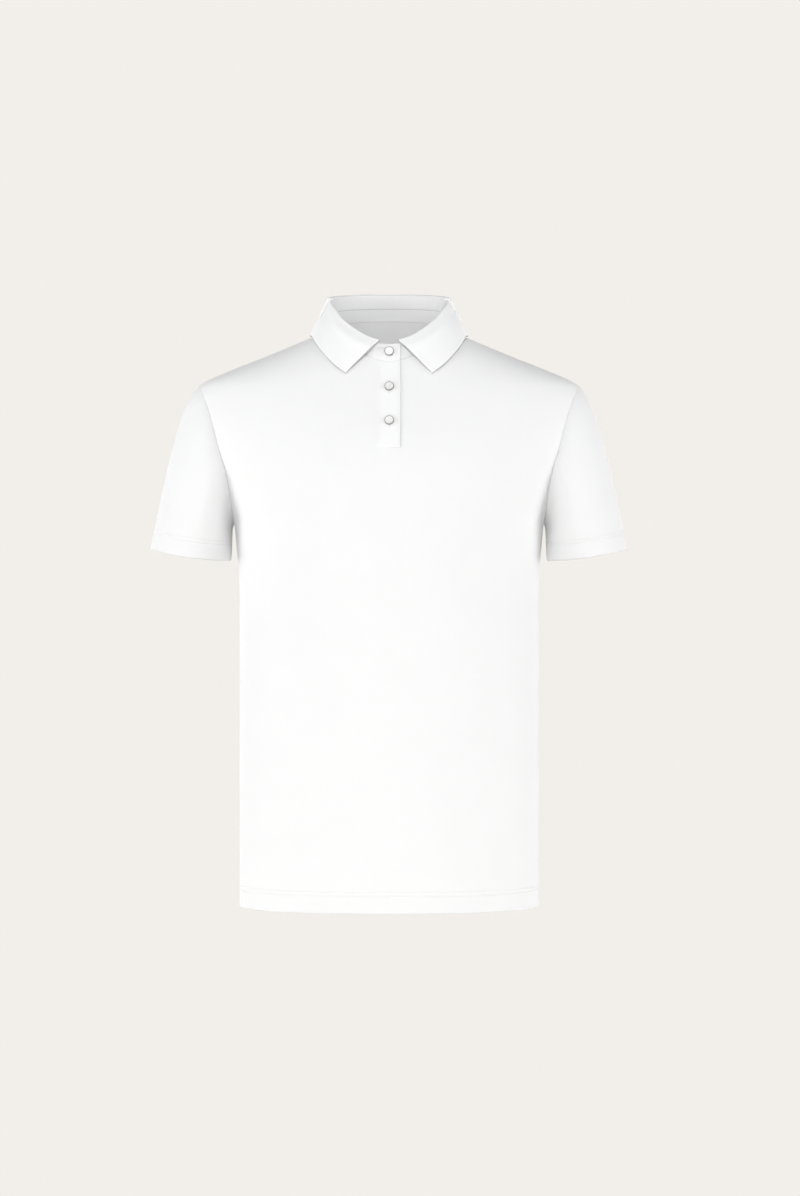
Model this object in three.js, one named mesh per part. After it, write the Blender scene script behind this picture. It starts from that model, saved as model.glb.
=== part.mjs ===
// Polo shirt with short sleeves, filled out as if worn, hollow and open at neck, hem and cuffs.
// Millimetres, +Z up. The front faces -Y and the right of a viewer in front is +X.
// The origin is the middle of the neck opening, level with the highest points of the shoulder seams.

import * as THREE from 'three';

// Cloth and sewing
const PANEL_CLOTH = 1.2;      // wall of the front, back and sleeves
const HEM_CLOTH = 2.3;        // wall where a hem is turned up on the inside
const COLLAR_CLOTH = 1.6;     // wall of the stand and the leaf, two layers of cloth
const PLACKET_CLOTH = 1.2;    // wall of a placket strip
const SEAM_GAP = 0.3;         // space between two pieces at their seam
const LAP_STEP = 1.9;         // how far an upper lap lies above its under lap at the front
const PLACKET_END_GAP = 0.45; // space between the strips' lower ends and the end of their window

// Lengths measured down from the origin level, as heights
const HEM_HEIGHT = -707;
const BODY_HEM_DEPTH = 25;
const ARMPIT_HEIGHT = -238;
const SHOULDER_TIP_HEIGHT = -67.5;
const FRONT_NECK_HEIGHT = -42;
const BACK_NECK_HEIGHT = 16;
const PLACKET_END_HEIGHT = -147.5;

// Widths
const NECK_HALF_WIDTH = 75.5;
const PLACKET_HALF_WIDTH = 13.5;
const PLACKET_EDGE_OVERHANG = 0.7;
const STAND_LAP_END = 14.5;
const LEAF_START = 12;

// How the neck seam falls from the shoulder to the middle: height times cosine to this power
const FRONT_NECK_POWER = 2.5;
const BACK_NECK_POWER = 0.75;

// Level sections of the body: half width at the side seam, depth in front and behind, and the
// power of the oval. Above the armpit the ovals run on past the armhole, which cuts them off.
const BODY_SECTIONS = [
  { height: -707, halfWidth: 183.6, front: 116, back: 108, power: 2.45 },
  { height: -580, halfWidth: 183.6, front: 113, back: 102, power: 2.45 },
  { height: -450, halfWidth: 183.6, front: 114, back: 99, power: 2.4 },
  { height: -350, halfWidth: 183.6, front: 118, back: 103, power: 2.4 },
  { height: -310, halfWidth: 183.7, front: 120, back: 107, power: 2.4 },
  { height: -285, halfWidth: 185.4, front: 121, back: 109, power: 2.4 },
  { height: -262, halfWidth: 187.8, front: 121.3, back: 110.3, power: 2.4 },
  { height: -238, halfWidth: 190.2, front: 120.6, back: 111.3, power: 2.4 },
  { height: -195, halfWidth: 209, front: 117, back: 112.5, power: 2.4 },
  { height: -150, halfWidth: 236, front: 107.5, back: 110.5, power: 2.4 },
  { height: -110, halfWidth: 246.5, front: 94.5, back: 104.5, power: 2.4 },
  { height: -85, halfWidth: 243.5, front: 85, back: 98, power: 2.4 },
  { height: -67.5, halfWidth: 233, front: 78, back: 92, power: 2.4 },
  { height: -60, halfWidth: 220, front: 75, back: 89.5, power: 2.4 },
  { height: -48.5, halfWidth: 193, front: 70.5, back: 85, power: 2.4 },
  { height: -35.5, halfWidth: 160, front: 65, back: 79.5, power: 2.4 },
  { height: -22, halfWidth: 127, front: 57.5, back: 74, power: 2.4 },
  { height: -10.5, halfWidth: 100, front: 52, back: 69.5, power: 2.4 },
  { height: 0, halfWidth: 75.5, front: 48, back: 66, power: 2.4 },
  { height: 5, halfWidth: 74.3, front: 47, back: 64.5, power: 2.4 },
  { height: 16, halfWidth: 70, front: 46, back: 62, power: 2.4 },
];

// Armhole seam seen from the front: its distance from the middle at each height
const ARMHOLE_SEAM = [
  { height: -238, halfWidth: 190.2 },
  { height: -195, halfWidth: 194.8 },
  { height: -171, halfWidth: 199.2 },
  { height: -152, halfWidth: 205 },
  { height: -98, halfWidth: 220 },
  { height: -67.5, halfWidth: 233 },
];

// Cells of the panels: across the neck, across the shoulder, up the side and up the armhole
const NECK_CELLS = 7;
const SHOULDER_CELLS = 6;
const SIDE_CELLS = 8;
const ARMHOLE_CELLS = 12;

// Sleeve: an oval opening at the hem, tilted so that its outer end is higher
const SLEEVE_HEM = {
  centre: new THREE.Vector3(243.9, 0, -275.5),
  halfWidth: 50,
  halfDepth: 57,
  tiltDegrees: 8.6,
  sag: 3.6,
  turnUp: 22,
};
const SLEEVE_CELLS = 8;
const SLEEVE_END_DIRECTION = new THREE.Vector3(0.225, 0, -0.974);

// How the sleeve leaves the armhole and reaches its hem, round the ring from the armpit to the shoulder.
// outward, forward and down give the direction, start and end how far it is kept.
const SLEEVE_SET = [
  { turn: 0, outward: 0.85, forward: 0, down: 0.53, start: 14, end: 40 },
  { turn: 0.25, outward: 0.62, forward: 0.6, down: 0.55, start: 60, end: 80 },
  { turn: 0.5, outward: 0.6, forward: 0.5, down: 0.62, start: 105, end: 120 },
  { turn: 0.75, outward: 0.66, forward: 0.36, down: 0.66, start: 112, end: 165 },
  { turn: 1, outward: 0.76, forward: 0, down: 0.65, start: 112, end: 190 },
];

// Collar, round the neck from the middle front (0) over the shoulder (0.5) to the middle back (1):
// height of the stand, height of the fold above the neck seam, and how far both lean to the neck.
const COLLAR_SECTIONS = [
  { turn: 0, stand: 22, fold: 25.5, lean: 0.2 },
  { turn: 0.15, stand: 21, fold: 24.5, lean: 0.17 },
  { turn: 0.27, stand: 19, fold: 24.5, lean: 0.14 },
  { turn: 0.38, stand: 19, fold: 31, lean: 0.13 },
  { turn: 0.5, stand: 19, fold: 37.5, lean: 0.15 },
  { turn: 0.7, stand: 17, fold: 35, lean: 0.15 },
  { turn: 1, stand: 15.5, fold: 32.5, lean: 0.14 },
];
const FOLD_RADIUS = 1.9;
const LEAF_LIFT = 1.4;

// Outer edge of the leaf in front, from the point to the shoulder, as it lies on the panel:
// distance from the middle and depth in front of the side seams
const LEAF_FRONT_EDGE = [
  { turn: 0, side: 52.5, depth: 72.9 },
  { turn: 0.3, side: 67.8, depth: 66.1 },
  { turn: 0.58, side: 81.2, depth: 54.3 },
  { turn: 0.8, side: 90.5, depth: 35 },
  { turn: 1, side: 96, depth: 0 },
];
const LEAF_BACK_EDGE = { side: 96.9, depth: 67.5, shoulderHeight: -6.6, middleHeight: 7 };

// Fullest place of the leaf between its fold and its outer edge, as shares of the way between them
const LEAF_CREST = { share: 0.3, bulge: 0.03 };
const LEAF_FALL_CELLS = 5;
const LEAF_FOLD_CELLS = 4;
const STAND_CELLS = 3;

// Buttons: turned discs, one on the stand and two on the placket
const BUTTON = {
  radius: 5.75,
  thickness: 2.6,
  edge: 0.6,
  rimRadius: 4.7,
  rimDrop: 0.165,
  dishRadius: 3.76,
  dishDepth: 0.55,
  sides: 24,
};
const BUTTON_SIDE = 0.5;
const STAND_BUTTON_HEIGHT = -29.7;
const PLACKET_BUTTON_HEIGHTS = [-73.2, -114.9];

// Colours
const WHITE_JERSEY = { color: 0xfbfaf9, roughness: 0.72, metalness: 0 };
const PEARL_BUTTON = { color: 0xd9d7d5, roughness: 0.35, metalness: 0 };

const UP = new THREE.Vector3(0, 0, 1);

// How often a range is halved when a height is looked for
const HALVINGS = 40;

// Value of one column of a table at a place between its rows, on a smooth curve that never overshoots
function smoothAt(rows, key, column, at) {
  const last = rows.length - 1;
  const place = THREE.MathUtils.clamp(at, rows[0][key], rows[last][key]);
  const next = Math.max(1, rows.findIndex((row) => row[key] >= place));
  const slopeOf = (index) => {
    const before = rows[index];
    const after = rows[index + 1];
    return (after[column] - before[column]) / (after[key] - before[key]);
  };
  const tangentAt = (index) => {
    if (index === 0) return slopeOf(0);
    if (index === last) return slopeOf(last - 1);
    const left = slopeOf(index - 1);
    const right = slopeOf(index);
    return left * right <= 0 ? 0 : (2 * left * right) / (left + right);
  };
  const from = rows[next - 1];
  const to = rows[next];
  const span = to[key] - from[key];
  const t = (place - from[key]) / span;
  const u = 1 - t;
  return from[column] * u * u * (1 + 2 * t) + to[column] * t * t * (3 - 2 * t)
    + tangentAt(next - 1) * span * t * u * u - tangentAt(next) * span * t * t * u;
}

// Point of the front (side -1) or back (side +1) cloth at a distance from the middle and a height
function bodyPoint(side, across, height) {
  const halfWidth = smoothAt(BODY_SECTIONS, 'height', 'halfWidth', height);
  const depth = smoothAt(BODY_SECTIONS, 'height', side < 0 ? 'front' : 'back', height);
  const power = smoothAt(BODY_SECTIONS, 'height', 'power', height);
  const share = Math.min(1, Math.abs(across) / halfWidth);
  const out = depth * Math.sqrt(1 - Math.pow(share, power));
  return new THREE.Vector3(across, side * (SEAM_GAP / 2 + out), height);
}

// Direction square to a surface given by distance from the middle and height, from small steps on it
function squareTo(surface, across, height) {
  const step = 0.25;
  const beside = surface(across + step, height).sub(surface(across - step, height));
  const above = surface(across, height + step).sub(surface(across, height - step));
  return beside.cross(above).normalize();
}

// Outward direction of the body cloth
function bodyNormal(side, across, height) {
  return squareTo((x, z) => bodyPoint(side, x, z), across, height).multiplyScalar(-side);
}

// Height at which the body cloth has a given depth, at a distance from the middle
function heightOnBody(side, across, depth) {
  let low = ARMPIT_HEIGHT / 2;
  let high = shoulderHeight(across);
  for (let pass = 0; pass < HALVINGS; pass += 1) {
    const middle = (low + high) / 2;
    if (Math.abs(bodyPoint(side, across, middle).y) > depth) low = middle;
    else high = middle;
  }
  return (low + high) / 2;
}

// Height of the neck seam at a distance from the middle
function neckHeight(side, across) {
  const cosine = Math.sqrt(Math.max(0, 1 - (across / NECK_HALF_WIDTH) ** 2));
  return side < 0 ? FRONT_NECK_HEIGHT * cosine ** FRONT_NECK_POWER : BACK_NECK_HEIGHT * cosine ** BACK_NECK_POWER;
}

// Height of the shoulder seam at a distance from the middle: where the level section is just that wide
function shoulderHeight(across) {
  let low = SHOULDER_TIP_HEIGHT;
  let high = 0;
  for (let pass = 0; pass < HALVINGS; pass += 1) {
    const middle = (low + high) / 2;
    if (smoothAt(BODY_SECTIONS, 'height', 'halfWidth', middle) > across) low = middle;
    else high = middle;
  }
  return (low + high) / 2;
}

// Even steps from 0 to 1 that bunch up at both ends
function easedSteps(cells) {
  return Array.from({ length: cells + 1 }, (unused, index) => (1 - Math.cos((Math.PI * index) / cells)) / 2);
}

// Distances from the middle of the columns on the neck seam, from the placket's edge to the shoulder
function neckColumns(start) {
  const first = Math.asin(start / NECK_HALF_WIDTH);
  return Array.from({ length: NECK_CELLS + 1 }, (unused, index) => (
    NECK_HALF_WIDTH * Math.sin(first + ((Math.PI / 2 - first) * index) / NECK_CELLS)));
}

const NECK_SIDES = neckColumns(PLACKET_HALF_WIDTH);

// The rows of a panel above the armpit, with one more at the end of the placket
const PLACKET_END_SHARE = (PLACKET_END_HEIGHT - ARMPIT_HEIGHT)
  / (neckHeight(-1, PLACKET_HALF_WIDTH) - ARMPIT_HEIGHT);
const UPPER_ROWS = easedSteps(ARMHOLE_CELLS).concat(PLACKET_END_SHARE).sort((a, b) => a - b);

// The heights of the rows below the armpit, with a short step at the top of the hem
const HEM_STEP = 0.7;
const LOWER_ROWS = (() => {
  const top = HEM_HEIGHT + BODY_HEM_DEPTH;
  const rows = [HEM_HEIGHT, top - HEM_STEP];
  for (let cell = 0; cell < SIDE_CELLS; cell += 1) {
    rows.push(top + ((ARMPIT_HEIGHT - top) * cell) / SIDE_CELLS);
  }
  return rows;
})();

// Distance from the middle and height of each column of a half panel on one of its upper rows
function upperRow(side, share) {
  const columns = NECK_CELLS + SHOULDER_CELLS;
  const topEdge = NECK_SIDES.map((across) => [across, neckHeight(side, across)]);
  for (let cell = 1; cell <= SHOULDER_CELLS; cell += 1) {
    const tip = smoothAt(ARMHOLE_SEAM, 'height', 'halfWidth', SHOULDER_TIP_HEIGHT);
    const across = THREE.MathUtils.lerp(NECK_HALF_WIDTH, tip, cell / SHOULDER_CELLS);
    topEdge.push([across, shoulderHeight(across)]);
  }
  const sideHeight = THREE.MathUtils.lerp(ARMPIT_HEIGHT, SHOULDER_TIP_HEIGHT, share);
  const sideWidth = smoothAt(ARMHOLE_SEAM, 'height', 'halfWidth', sideHeight);
  const armpitWidth = smoothAt(ARMHOLE_SEAM, 'height', 'halfWidth', ARMPIT_HEIGHT);
  const straightWidth = THREE.MathUtils.lerp(armpitWidth, topEdge[columns][0], share);
  return topEdge.map(([topAcross, topHeight], column) => {
    const bottomAcross = levelColumn(armpitWidth, column);
    const across = THREE.MathUtils.lerp(bottomAcross, topAcross, share)
      + (column / columns) * (sideWidth - straightWidth);
    return [across, THREE.MathUtils.lerp(ARMPIT_HEIGHT, topHeight, share)];
  });
}

// Distance from the middle of a column on a level row: even turns of an angle out to the side seam
function levelColumn(halfWidth, column) {
  const first = Math.asin(PLACKET_HALF_WIDTH / halfWidth);
  const columns = NECK_CELLS + SHOULDER_CELLS;
  return halfWidth * Math.sin(first + ((Math.PI / 2 - first) * column) / columns);
}

// Height of the middle column on an upper row: level with the placket's edge up to the placket's end
function middleHeight(side, share) {
  const edgeHeight = neckHeight(side, PLACKET_HALF_WIDTH);
  if (share <= PLACKET_END_SHARE) return THREE.MathUtils.lerp(ARMPIT_HEIGHT, edgeHeight, share);
  const end = THREE.MathUtils.lerp(ARMPIT_HEIGHT, edgeHeight, PLACKET_END_SHARE);
  const rest = (share - PLACKET_END_SHARE) / (1 - PLACKET_END_SHARE);
  return THREE.MathUtils.lerp(end, neckHeight(side, 0), rest);
}

// Rows of points of a whole panel, from hem to neck. Its columns run to the right, seen from outside.
function panelGrid(side) {
  const rows = LOWER_ROWS.map((height) => {
    const halfWidth = smoothAt(BODY_SECTIONS, 'height', 'halfWidth', height);
    const half = Array.from({ length: NECK_CELLS + SHOULDER_CELLS + 1 }, (unused, column) => (
      [levelColumn(halfWidth, column), height]));
    return [[0, height], ...half];
  });
  UPPER_ROWS.forEach((share) => {
    const half = upperRow(side, share);
    rows.push([[0, middleHeight(side, share)], ...half]);
  });
  return rows.map((half) => {
    const otherHalf = half.slice(1).reverse().map(([across, height]) => [-across, height]);
    const whole = otherHalf.concat(half).map(([across, height]) => bodyPoint(side, across, height));
    return side < 0 ? whole : whole.reverse();
  });
}

// Normals of a grid of points, from the steps to its neighbours along rows and columns.
// firstSteps gives the direction in which each column leaves the first row, where that is known.
function gridNormals(grid, closed, firstSteps = null) {
  const rows = grid.length;
  const columns = grid[0].length;
  return grid.map((row, i) => row.map((point, j) => {
    const left = closed ? (j + columns - 1) % columns : Math.max(0, j - 1);
    const right = closed ? (j + 1) % columns : Math.min(columns - 1, j + 1);
    const along = row[right].clone().sub(row[left]);
    const step = grid[Math.min(rows - 1, i + 1)][j].clone().sub(grid[Math.max(0, i - 1)][j]);
    const up = i === 0 && firstSteps ? firstSteps[j] : step;
    return along.cross(up).normalize();
  }));
}

// A cloth wall: the grid is its outer face, and its inner face lies under it by the thickness.
// closed joins the last column to the first, and keep leaves out cells where the cloth is cut away.
function clothWall(grid, { thickness, normals, closed = false, keep = () => true }) {
  const rows = grid.length;
  const columns = grid[0].length;
  const count = rows * columns;
  const positions = [];
  grid.forEach((row) => row.forEach((point) => positions.push(point.x, point.y, point.z)));
  grid.forEach((row, i) => row.forEach((point, j) => {
    const inner = point.clone().addScaledVector(normals[i][j], -thickness(i, j));
    positions.push(inner.x, inner.y, inner.z);
  }));
  const columnCells = closed ? columns : columns - 1;
  const isKept = (i, j) => {
    if (i < 0 || i >= rows - 1) return false;
    if (!closed && (j < 0 || j >= columnCells)) return false;
    return keep(i, (j + columnCells) % columnCells);
  };
  const indices = [];
  const addQuad = (a, b, c, d) => indices.push(a, b, c, a, c, d);
  for (let i = 0; i < rows - 1; i += 1) {
    for (let j = 0; j < columnCells; j += 1) {
      if (!isKept(i, j)) continue;
      const next = (j + 1) % columns;
      const a = i * columns + j;
      const b = i * columns + next;
      const c = (i + 1) * columns + next;
      const d = (i + 1) * columns + j;
      addQuad(a, b, c, d);
      addQuad(d + count, c + count, b + count, a + count);
      if (!isKept(i - 1, j)) addQuad(b, a, a + count, b + count);
      if (!isKept(i, j + 1)) addQuad(c, b, b + count, c + count);
      if (!isKept(i + 1, j)) addQuad(d, c, c + count, d + count);
      if (!isKept(i, j - 1)) addQuad(a, d, d + count, a + count);
    }
  }
  const geometry = new THREE.BufferGeometry();
  geometry.setAttribute('position', new THREE.Float32BufferAttribute(positions, 3));
  geometry.setIndex(indices);
  return compact(geometry);
}

// The same geometry without the points that no face uses
function compact(geometry) {
  const position = geometry.getAttribute('position');
  const renamed = new Map();
  const kept = [];
  const indices = Array.from(geometry.getIndex().array, (index) => {
    if (!renamed.has(index)) {
      renamed.set(index, renamed.size);
      kept.push(position.getX(index), position.getY(index), position.getZ(index));
    }
    return renamed.get(index);
  });
  const result = new THREE.BufferGeometry();
  result.setAttribute('position', new THREE.Float32BufferAttribute(kept, 3));
  result.setIndex(indices);
  result.computeVertexNormals();
  return result;
}

// Front or back panel. Its normals at the side and shoulder seams lie in the seam's plane.
function panelGeometry(side) {
  const grid = panelGrid(side);
  const normals = gridNormals(grid, false);
  const lastRow = grid.length - 1;
  const lastColumn = grid[0].length - 1;
  const middleColumn = lastColumn / 2;
  const flatten = (normal) => normal.setY(0).normalize();
  grid.forEach((row, i) => [0, lastColumn].forEach((j) => {
    if (i <= LOWER_ROWS.length) flatten(normals[i][j]);
  }));
  grid[lastRow].forEach((point, j) => {
    if (Math.abs(j - middleColumn) > NECK_CELLS) flatten(normals[lastRow][j]);
  });
  const windowStart = LOWER_ROWS.length + UPPER_ROWS.indexOf(PLACKET_END_SHARE);
  const inWindow = (i, j) => side < 0 && i >= windowStart && Math.abs(j + 0.5 - middleColumn) < 1;
  return clothWall(grid, {
    normals,
    thickness: (i) => (i < 2 ? HEM_CLOTH : PANEL_CLOTH),
    keep: (i, j) => !inWindow(i, j),
  });
}

// Points of the armhole seam on one panel at the right, from the armpit to the shoulder tip
function armholeSide(side) {
  return UPPER_ROWS.map((share) => {
    const height = THREE.MathUtils.lerp(ARMPIT_HEIGHT, SHOULDER_TIP_HEIGHT, share);
    const across = smoothAt(ARMHOLE_SEAM, 'height', 'halfWidth', height);
    return bodyPoint(side, across, height);
  });
}

// Turns round half the sleeve for the seam's points, 0 at the armpit and 1 at the shoulder tip
const SLEEVE_TURNS = UPPER_ROWS.map((share) => Math.acos(1 - 2 * share) / Math.PI);

// One line of the sleeve, from a point on the armhole seam to the hem, as points on a smooth curve
function sleeveLine(side, turn, seamPoint) {
  const set = (column) => smoothAt(SLEEVE_SET, 'turn', column, turn);
  const start = new THREE.Vector3(set('outward'), side * set('forward'), -set('down')).normalize();
  const angle = Math.PI * (1 - turn);
  const tilt = THREE.MathUtils.degToRad(SLEEVE_HEM.tiltDegrees);
  const end = SLEEVE_HEM.centre.clone();
  end.x += SLEEVE_HEM.halfWidth * Math.cos(angle) * Math.cos(tilt);
  end.z += SLEEVE_HEM.halfWidth * Math.cos(angle) * Math.sin(tilt) - SLEEVE_HEM.sag * Math.sin(angle) ** 2;
  end.y += side * SLEEVE_HEM.halfDepth * Math.sin(angle);
  const from = seamPoint.clone().addScaledVector(start, SEAM_GAP);
  const startPull = start.clone().multiplyScalar(set('start'));
  const endPull = SLEEVE_END_DIRECTION.clone().normalize().multiplyScalar(set('end'));
  const curve = new THREE.CubicBezierCurve3(
    from,
    from.clone().addScaledVector(startPull, 1 / 3),
    end.clone().addScaledVector(endPull, -1 / 3),
    end,
  );
  const bodyShare = 1 - SLEEVE_HEM.turnUp / curve.getLength();
  const shares = Array.from({ length: SLEEVE_CELLS + 1 }, (unused, index) => (index / SLEEVE_CELLS) * bodyShare);
  const hemStep = HEM_STEP / curve.getLength();
  const points = [...shares, bodyShare + hemStep, 1].map((share) => curve.getPointAt(share));
  return { points, start };
}

// Lines of the right sleeve, from the armhole to the hem, round from the armpit over the back
function sleeveLines() {
  const lines = [];
  const last = UPPER_ROWS.length - 1;
  const front = armholeSide(-1);
  const back = armholeSide(1);
  for (let index = 0; index <= last; index += 1) {
    const point = index === 0 || index === last ? back[index].clone().setY(0) : back[index];
    lines.push(sleeveLine(1, SLEEVE_TURNS[index], point));
  }
  for (let index = last - 1; index > 0; index -= 1) {
    lines.push(sleeveLine(-1, SLEEVE_TURNS[index], front[index]));
  }
  return lines;
}

// The mirror image of a point or direction, on the viewer's other side
function mirrored(vector) {
  return new THREE.Vector3(-vector.x, vector.y, vector.z);
}

// Sleeve at the right (1) or left (-1) of a viewer
function sleeveGeometry(hand) {
  const right = sleeveLines();
  const left = () => right.map(({ points, start }) => (
    { points: points.map(mirrored), start: mirrored(start) })).reverse();
  const lines = hand > 0 ? right : left();
  const grid = lines[0].points.map((unused, row) => lines.map((line) => line.points[row]));
  const hemRows = grid.length - 2;
  return clothWall(grid, {
    normals: gridNormals(grid, true, lines.map((line) => line.start)),
    thickness: (i) => (i >= hemRows ? HEM_CLOTH : PANEL_CLOTH),
    closed: true,
  });
}

// Outward lift of an upper or under lap at the front opening: none at its seam, the step at its free end
function lapLift(isUpper, across) {
  const span = 2 * PLACKET_HALF_WIDTH;
  return isUpper
    ? (LAP_STEP * (across + PLACKET_HALF_WIDTH)) / span
    : (LAP_STEP * (across - PLACKET_HALF_WIDTH)) / span;
}

// Point of a lap at the front opening: the front panel's point, moved level to the front by its lift
function lapPoint(isUpper, across, height) {
  const point = bodyPoint(-1, across, height);
  point.y -= lapLift(isUpper, across);
  return point;
}

// Outward direction of a lap at the front opening
function lapNormal(isUpper, across, height) {
  return squareTo((x, z) => lapPoint(isUpper, x, z), across, height);
}

// Placket strip: the front panel's points between the edges of the opening, lifted as a lap
function placketGeometry(isUpper) {
  const cellsUp = 9;
  const leftEdge = isUpper ? -PLACKET_HALF_WIDTH + SEAM_GAP : -PLACKET_HALF_WIDTH - PLACKET_EDGE_OVERHANG;
  const rightEdge = isUpper ? PLACKET_HALF_WIDTH + PLACKET_EDGE_OVERHANG : PLACKET_HALF_WIDTH - SEAM_GAP;
  const columns = [leftEdge, leftEdge / 2, 0, rightEdge / 2, rightEdge];
  const bottom = PLACKET_END_HEIGHT + PLACKET_END_GAP;
  const grid = [];
  const normals = [];
  for (let i = 0; i <= cellsUp; i += 1) {
    const heights = columns.map((across) => THREE.MathUtils.lerp(bottom, neckHeight(-1, across), i / cellsUp));
    normals.push(columns.map((across, j) => lapNormal(isUpper, across, heights[j])));
    grid.push(columns.map((across, j) => lapPoint(isUpper, across, heights[j])));
  }
  return clothWall(grid, { normals, thickness: () => PLACKET_CLOTH });
}

// Places round the neck seam, from the middle front over the viewer's right shoulder to the middle back.
// Each has its turn, its point on the seam and its outward direction, and mirrored ones follow from them.
function neckPlaces(start) {
  const frontSides = [0, start, ...NECK_SIDES.slice(1, -1)];
  const backSides = [...NECK_SIDES.slice(1, -1).reverse(), start, 0];
  const turnOf = (side, across) => {
    const quarter = Math.asin(across / NECK_HALF_WIDTH) / Math.PI;
    return side < 0 ? quarter : 1 - quarter;
  };
  const places = frontSides.map((across) => (
    { turn: turnOf(-1, across), point: bodyPoint(-1, across, neckHeight(-1, across)) }));
  places.push({ turn: 0.5, point: new THREE.Vector3(NECK_HALF_WIDTH, 0, 0) });
  backSides.forEach((across) => places.push(
    { turn: turnOf(1, across), point: bodyPoint(1, across, neckHeight(1, across)) }));
  const last = places.length - 1;
  places.forEach((place, index) => {
    const before = places[Math.max(0, index - 1)].point;
    const after = places[Math.min(last, index + 1)].point;
    const along = after.clone().sub(before).setZ(0);
    if (index === 0 || index === last) along.setY(0);
    place.outward = along.cross(UP).normalize();
  });
  return places;
}

// The same place on the viewer's left
function mirrorPlace(place) {
  return { turn: place.turn, point: mirrored(place.point), outward: mirrored(place.outward) };
}

// Places all round, going to the right at the front: half the ring, then its mirror image
function ringOfPlaces(places) {
  const back = places.slice(0, -1).reverse().map(mirrorPlace);
  return [...places, ...back];
}

// Directions of the collar at a place: up along the stand, and square to it, outward
function collarFrame(place) {
  const lean = smoothAt(COLLAR_SECTIONS, 'turn', 'lean', place.turn);
  const rise = UP.clone().addScaledVector(place.outward, -lean).normalize();
  const outward = place.outward.clone().addScaledVector(UP, lean).normalize();
  return { rise, outward };
}

// Collar stand: a band that starts as the under lap, goes round the neck and ends as the upper lap
function standGeometry() {
  const ring = ringOfPlaces(neckPlaces(LEAF_START));
  const lapPlace = (across) => {
    const place = { turn: 0, point: bodyPoint(-1, across, neckHeight(-1, across)) };
    place.outward = bodyNormal(-1, across, place.point.z).setZ(0).normalize();
    return place;
  };
  const underEnd = { ...lapPlace(-PLACKET_HALF_WIDTH + SEAM_GAP), isUpper: false };
  const upperEnd = { ...lapPlace(STAND_LAP_END), isUpper: true };
  const columns = [underEnd, ...ring.map((place) => ({ ...place, isUpper: false })), upperEnd];
  columns.forEach((place, index) => {
    const isUpper = index > columns.length / 2;
    const across = place.point.x;
    const inLap = place.point.y < 0 && Math.abs(across) < STAND_LAP_END + SEAM_GAP;
    const lift = inLap ? lapLift(isUpper, across) : 0;
    place.lift = isUpper ? Math.max(0, lift) : Math.min(0, lift);
  });
  const heights = Array.from({ length: STAND_CELLS + 1 }, (unused, index) => index / STAND_CELLS);
  const frames = columns.map(collarFrame);
  const grid = heights.map((share) => columns.map((place, j) => {
    const tall = smoothAt(COLLAR_SECTIONS, 'turn', 'stand', place.turn);
    return place.point.clone()
      .addScaledVector(place.outward, place.lift)
      .addScaledVector(frames[j].rise, SEAM_GAP + (tall - SEAM_GAP) * share);
  }));
  const normals = heights.map(() => frames.map((frame) => frame.outward));
  return clothWall(grid, { normals, thickness: () => COLLAR_CLOTH });
}

// Outer edge of the leaf at a place round the neck, a little above the cloth that it lies on
function leafEdge(place, startTurn) {
  if (place.turn <= 0.5) {
    const share = (place.turn - startTurn) / (0.5 - startTurn);
    const across = smoothAt(LEAF_FRONT_EDGE, 'turn', 'side', share);
    const depth = smoothAt(LEAF_FRONT_EDGE, 'turn', 'depth', share);
    const height = heightOnBody(-1, across, Math.max(SEAM_GAP, depth));
    const lift = LEAF_LIFT + COLLAR_CLOTH / 2;
    const edge = bodyPoint(-1, across, height).addScaledVector(bodyNormal(-1, across, height - SEAM_GAP), lift);
    if (share === 1) edge.setY(0);
    return edge;
  }
  const angle = Math.PI * (place.turn - 0.5);
  const edge = LEAF_BACK_EDGE;
  const rise = Math.sin(angle) ** 2;
  return new THREE.Vector3(
    edge.side * Math.cos(angle),
    edge.depth * Math.sin(angle),
    THREE.MathUtils.lerp(edge.shoulderHeight, edge.middleHeight, rise),
  );
}

// Middle line of the leaf at one place: up from the stand, over the fold and down to its outer edge
function leafLine(place, startTurn) {
  const { rise, outward } = collarFrame(place);
  const stand = smoothAt(COLLAR_SECTIONS, 'turn', 'stand', place.turn);
  const fold = smoothAt(COLLAR_SECTIONS, 'turn', 'fold', place.turn);
  const middle = place.point.clone().addScaledVector(outward, -COLLAR_CLOTH / 2);
  const line = [middle.clone().addScaledVector(rise, stand + SEAM_GAP)];
  const centre = middle.clone().addScaledVector(rise, fold - FOLD_RADIUS).addScaledVector(outward, FOLD_RADIUS);
  for (let step = 0; step <= LEAF_FOLD_CELLS; step += 1) {
    const angle = (Math.PI * step) / LEAF_FOLD_CELLS;
    line.push(centre.clone()
      .addScaledVector(outward, -FOLD_RADIUS * Math.cos(angle))
      .addScaledVector(rise, FOLD_RADIUS * Math.sin(angle)));
  }
  const foldEnd = line[line.length - 1];
  const edge = leafEdge(place, startTurn);
  if (place.point.x < 0) edge.x = -Math.abs(edge.x);
  const reach = foldEnd.distanceTo(edge);
  const crest = foldEnd.clone().lerp(edge, LEAF_CREST.share)
    .addScaledVector(rise, LEAF_CREST.bulge * reach)
    .addScaledVector(outward, LEAF_CREST.bulge * reach);
  const fall = new THREE.QuadraticBezierCurve3(foldEnd, crest, edge);
  for (let step = 1; step <= LEAF_FALL_CELLS; step += 1) line.push(fall.getPoint(step / LEAF_FALL_CELLS));
  return line;
}

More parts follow.
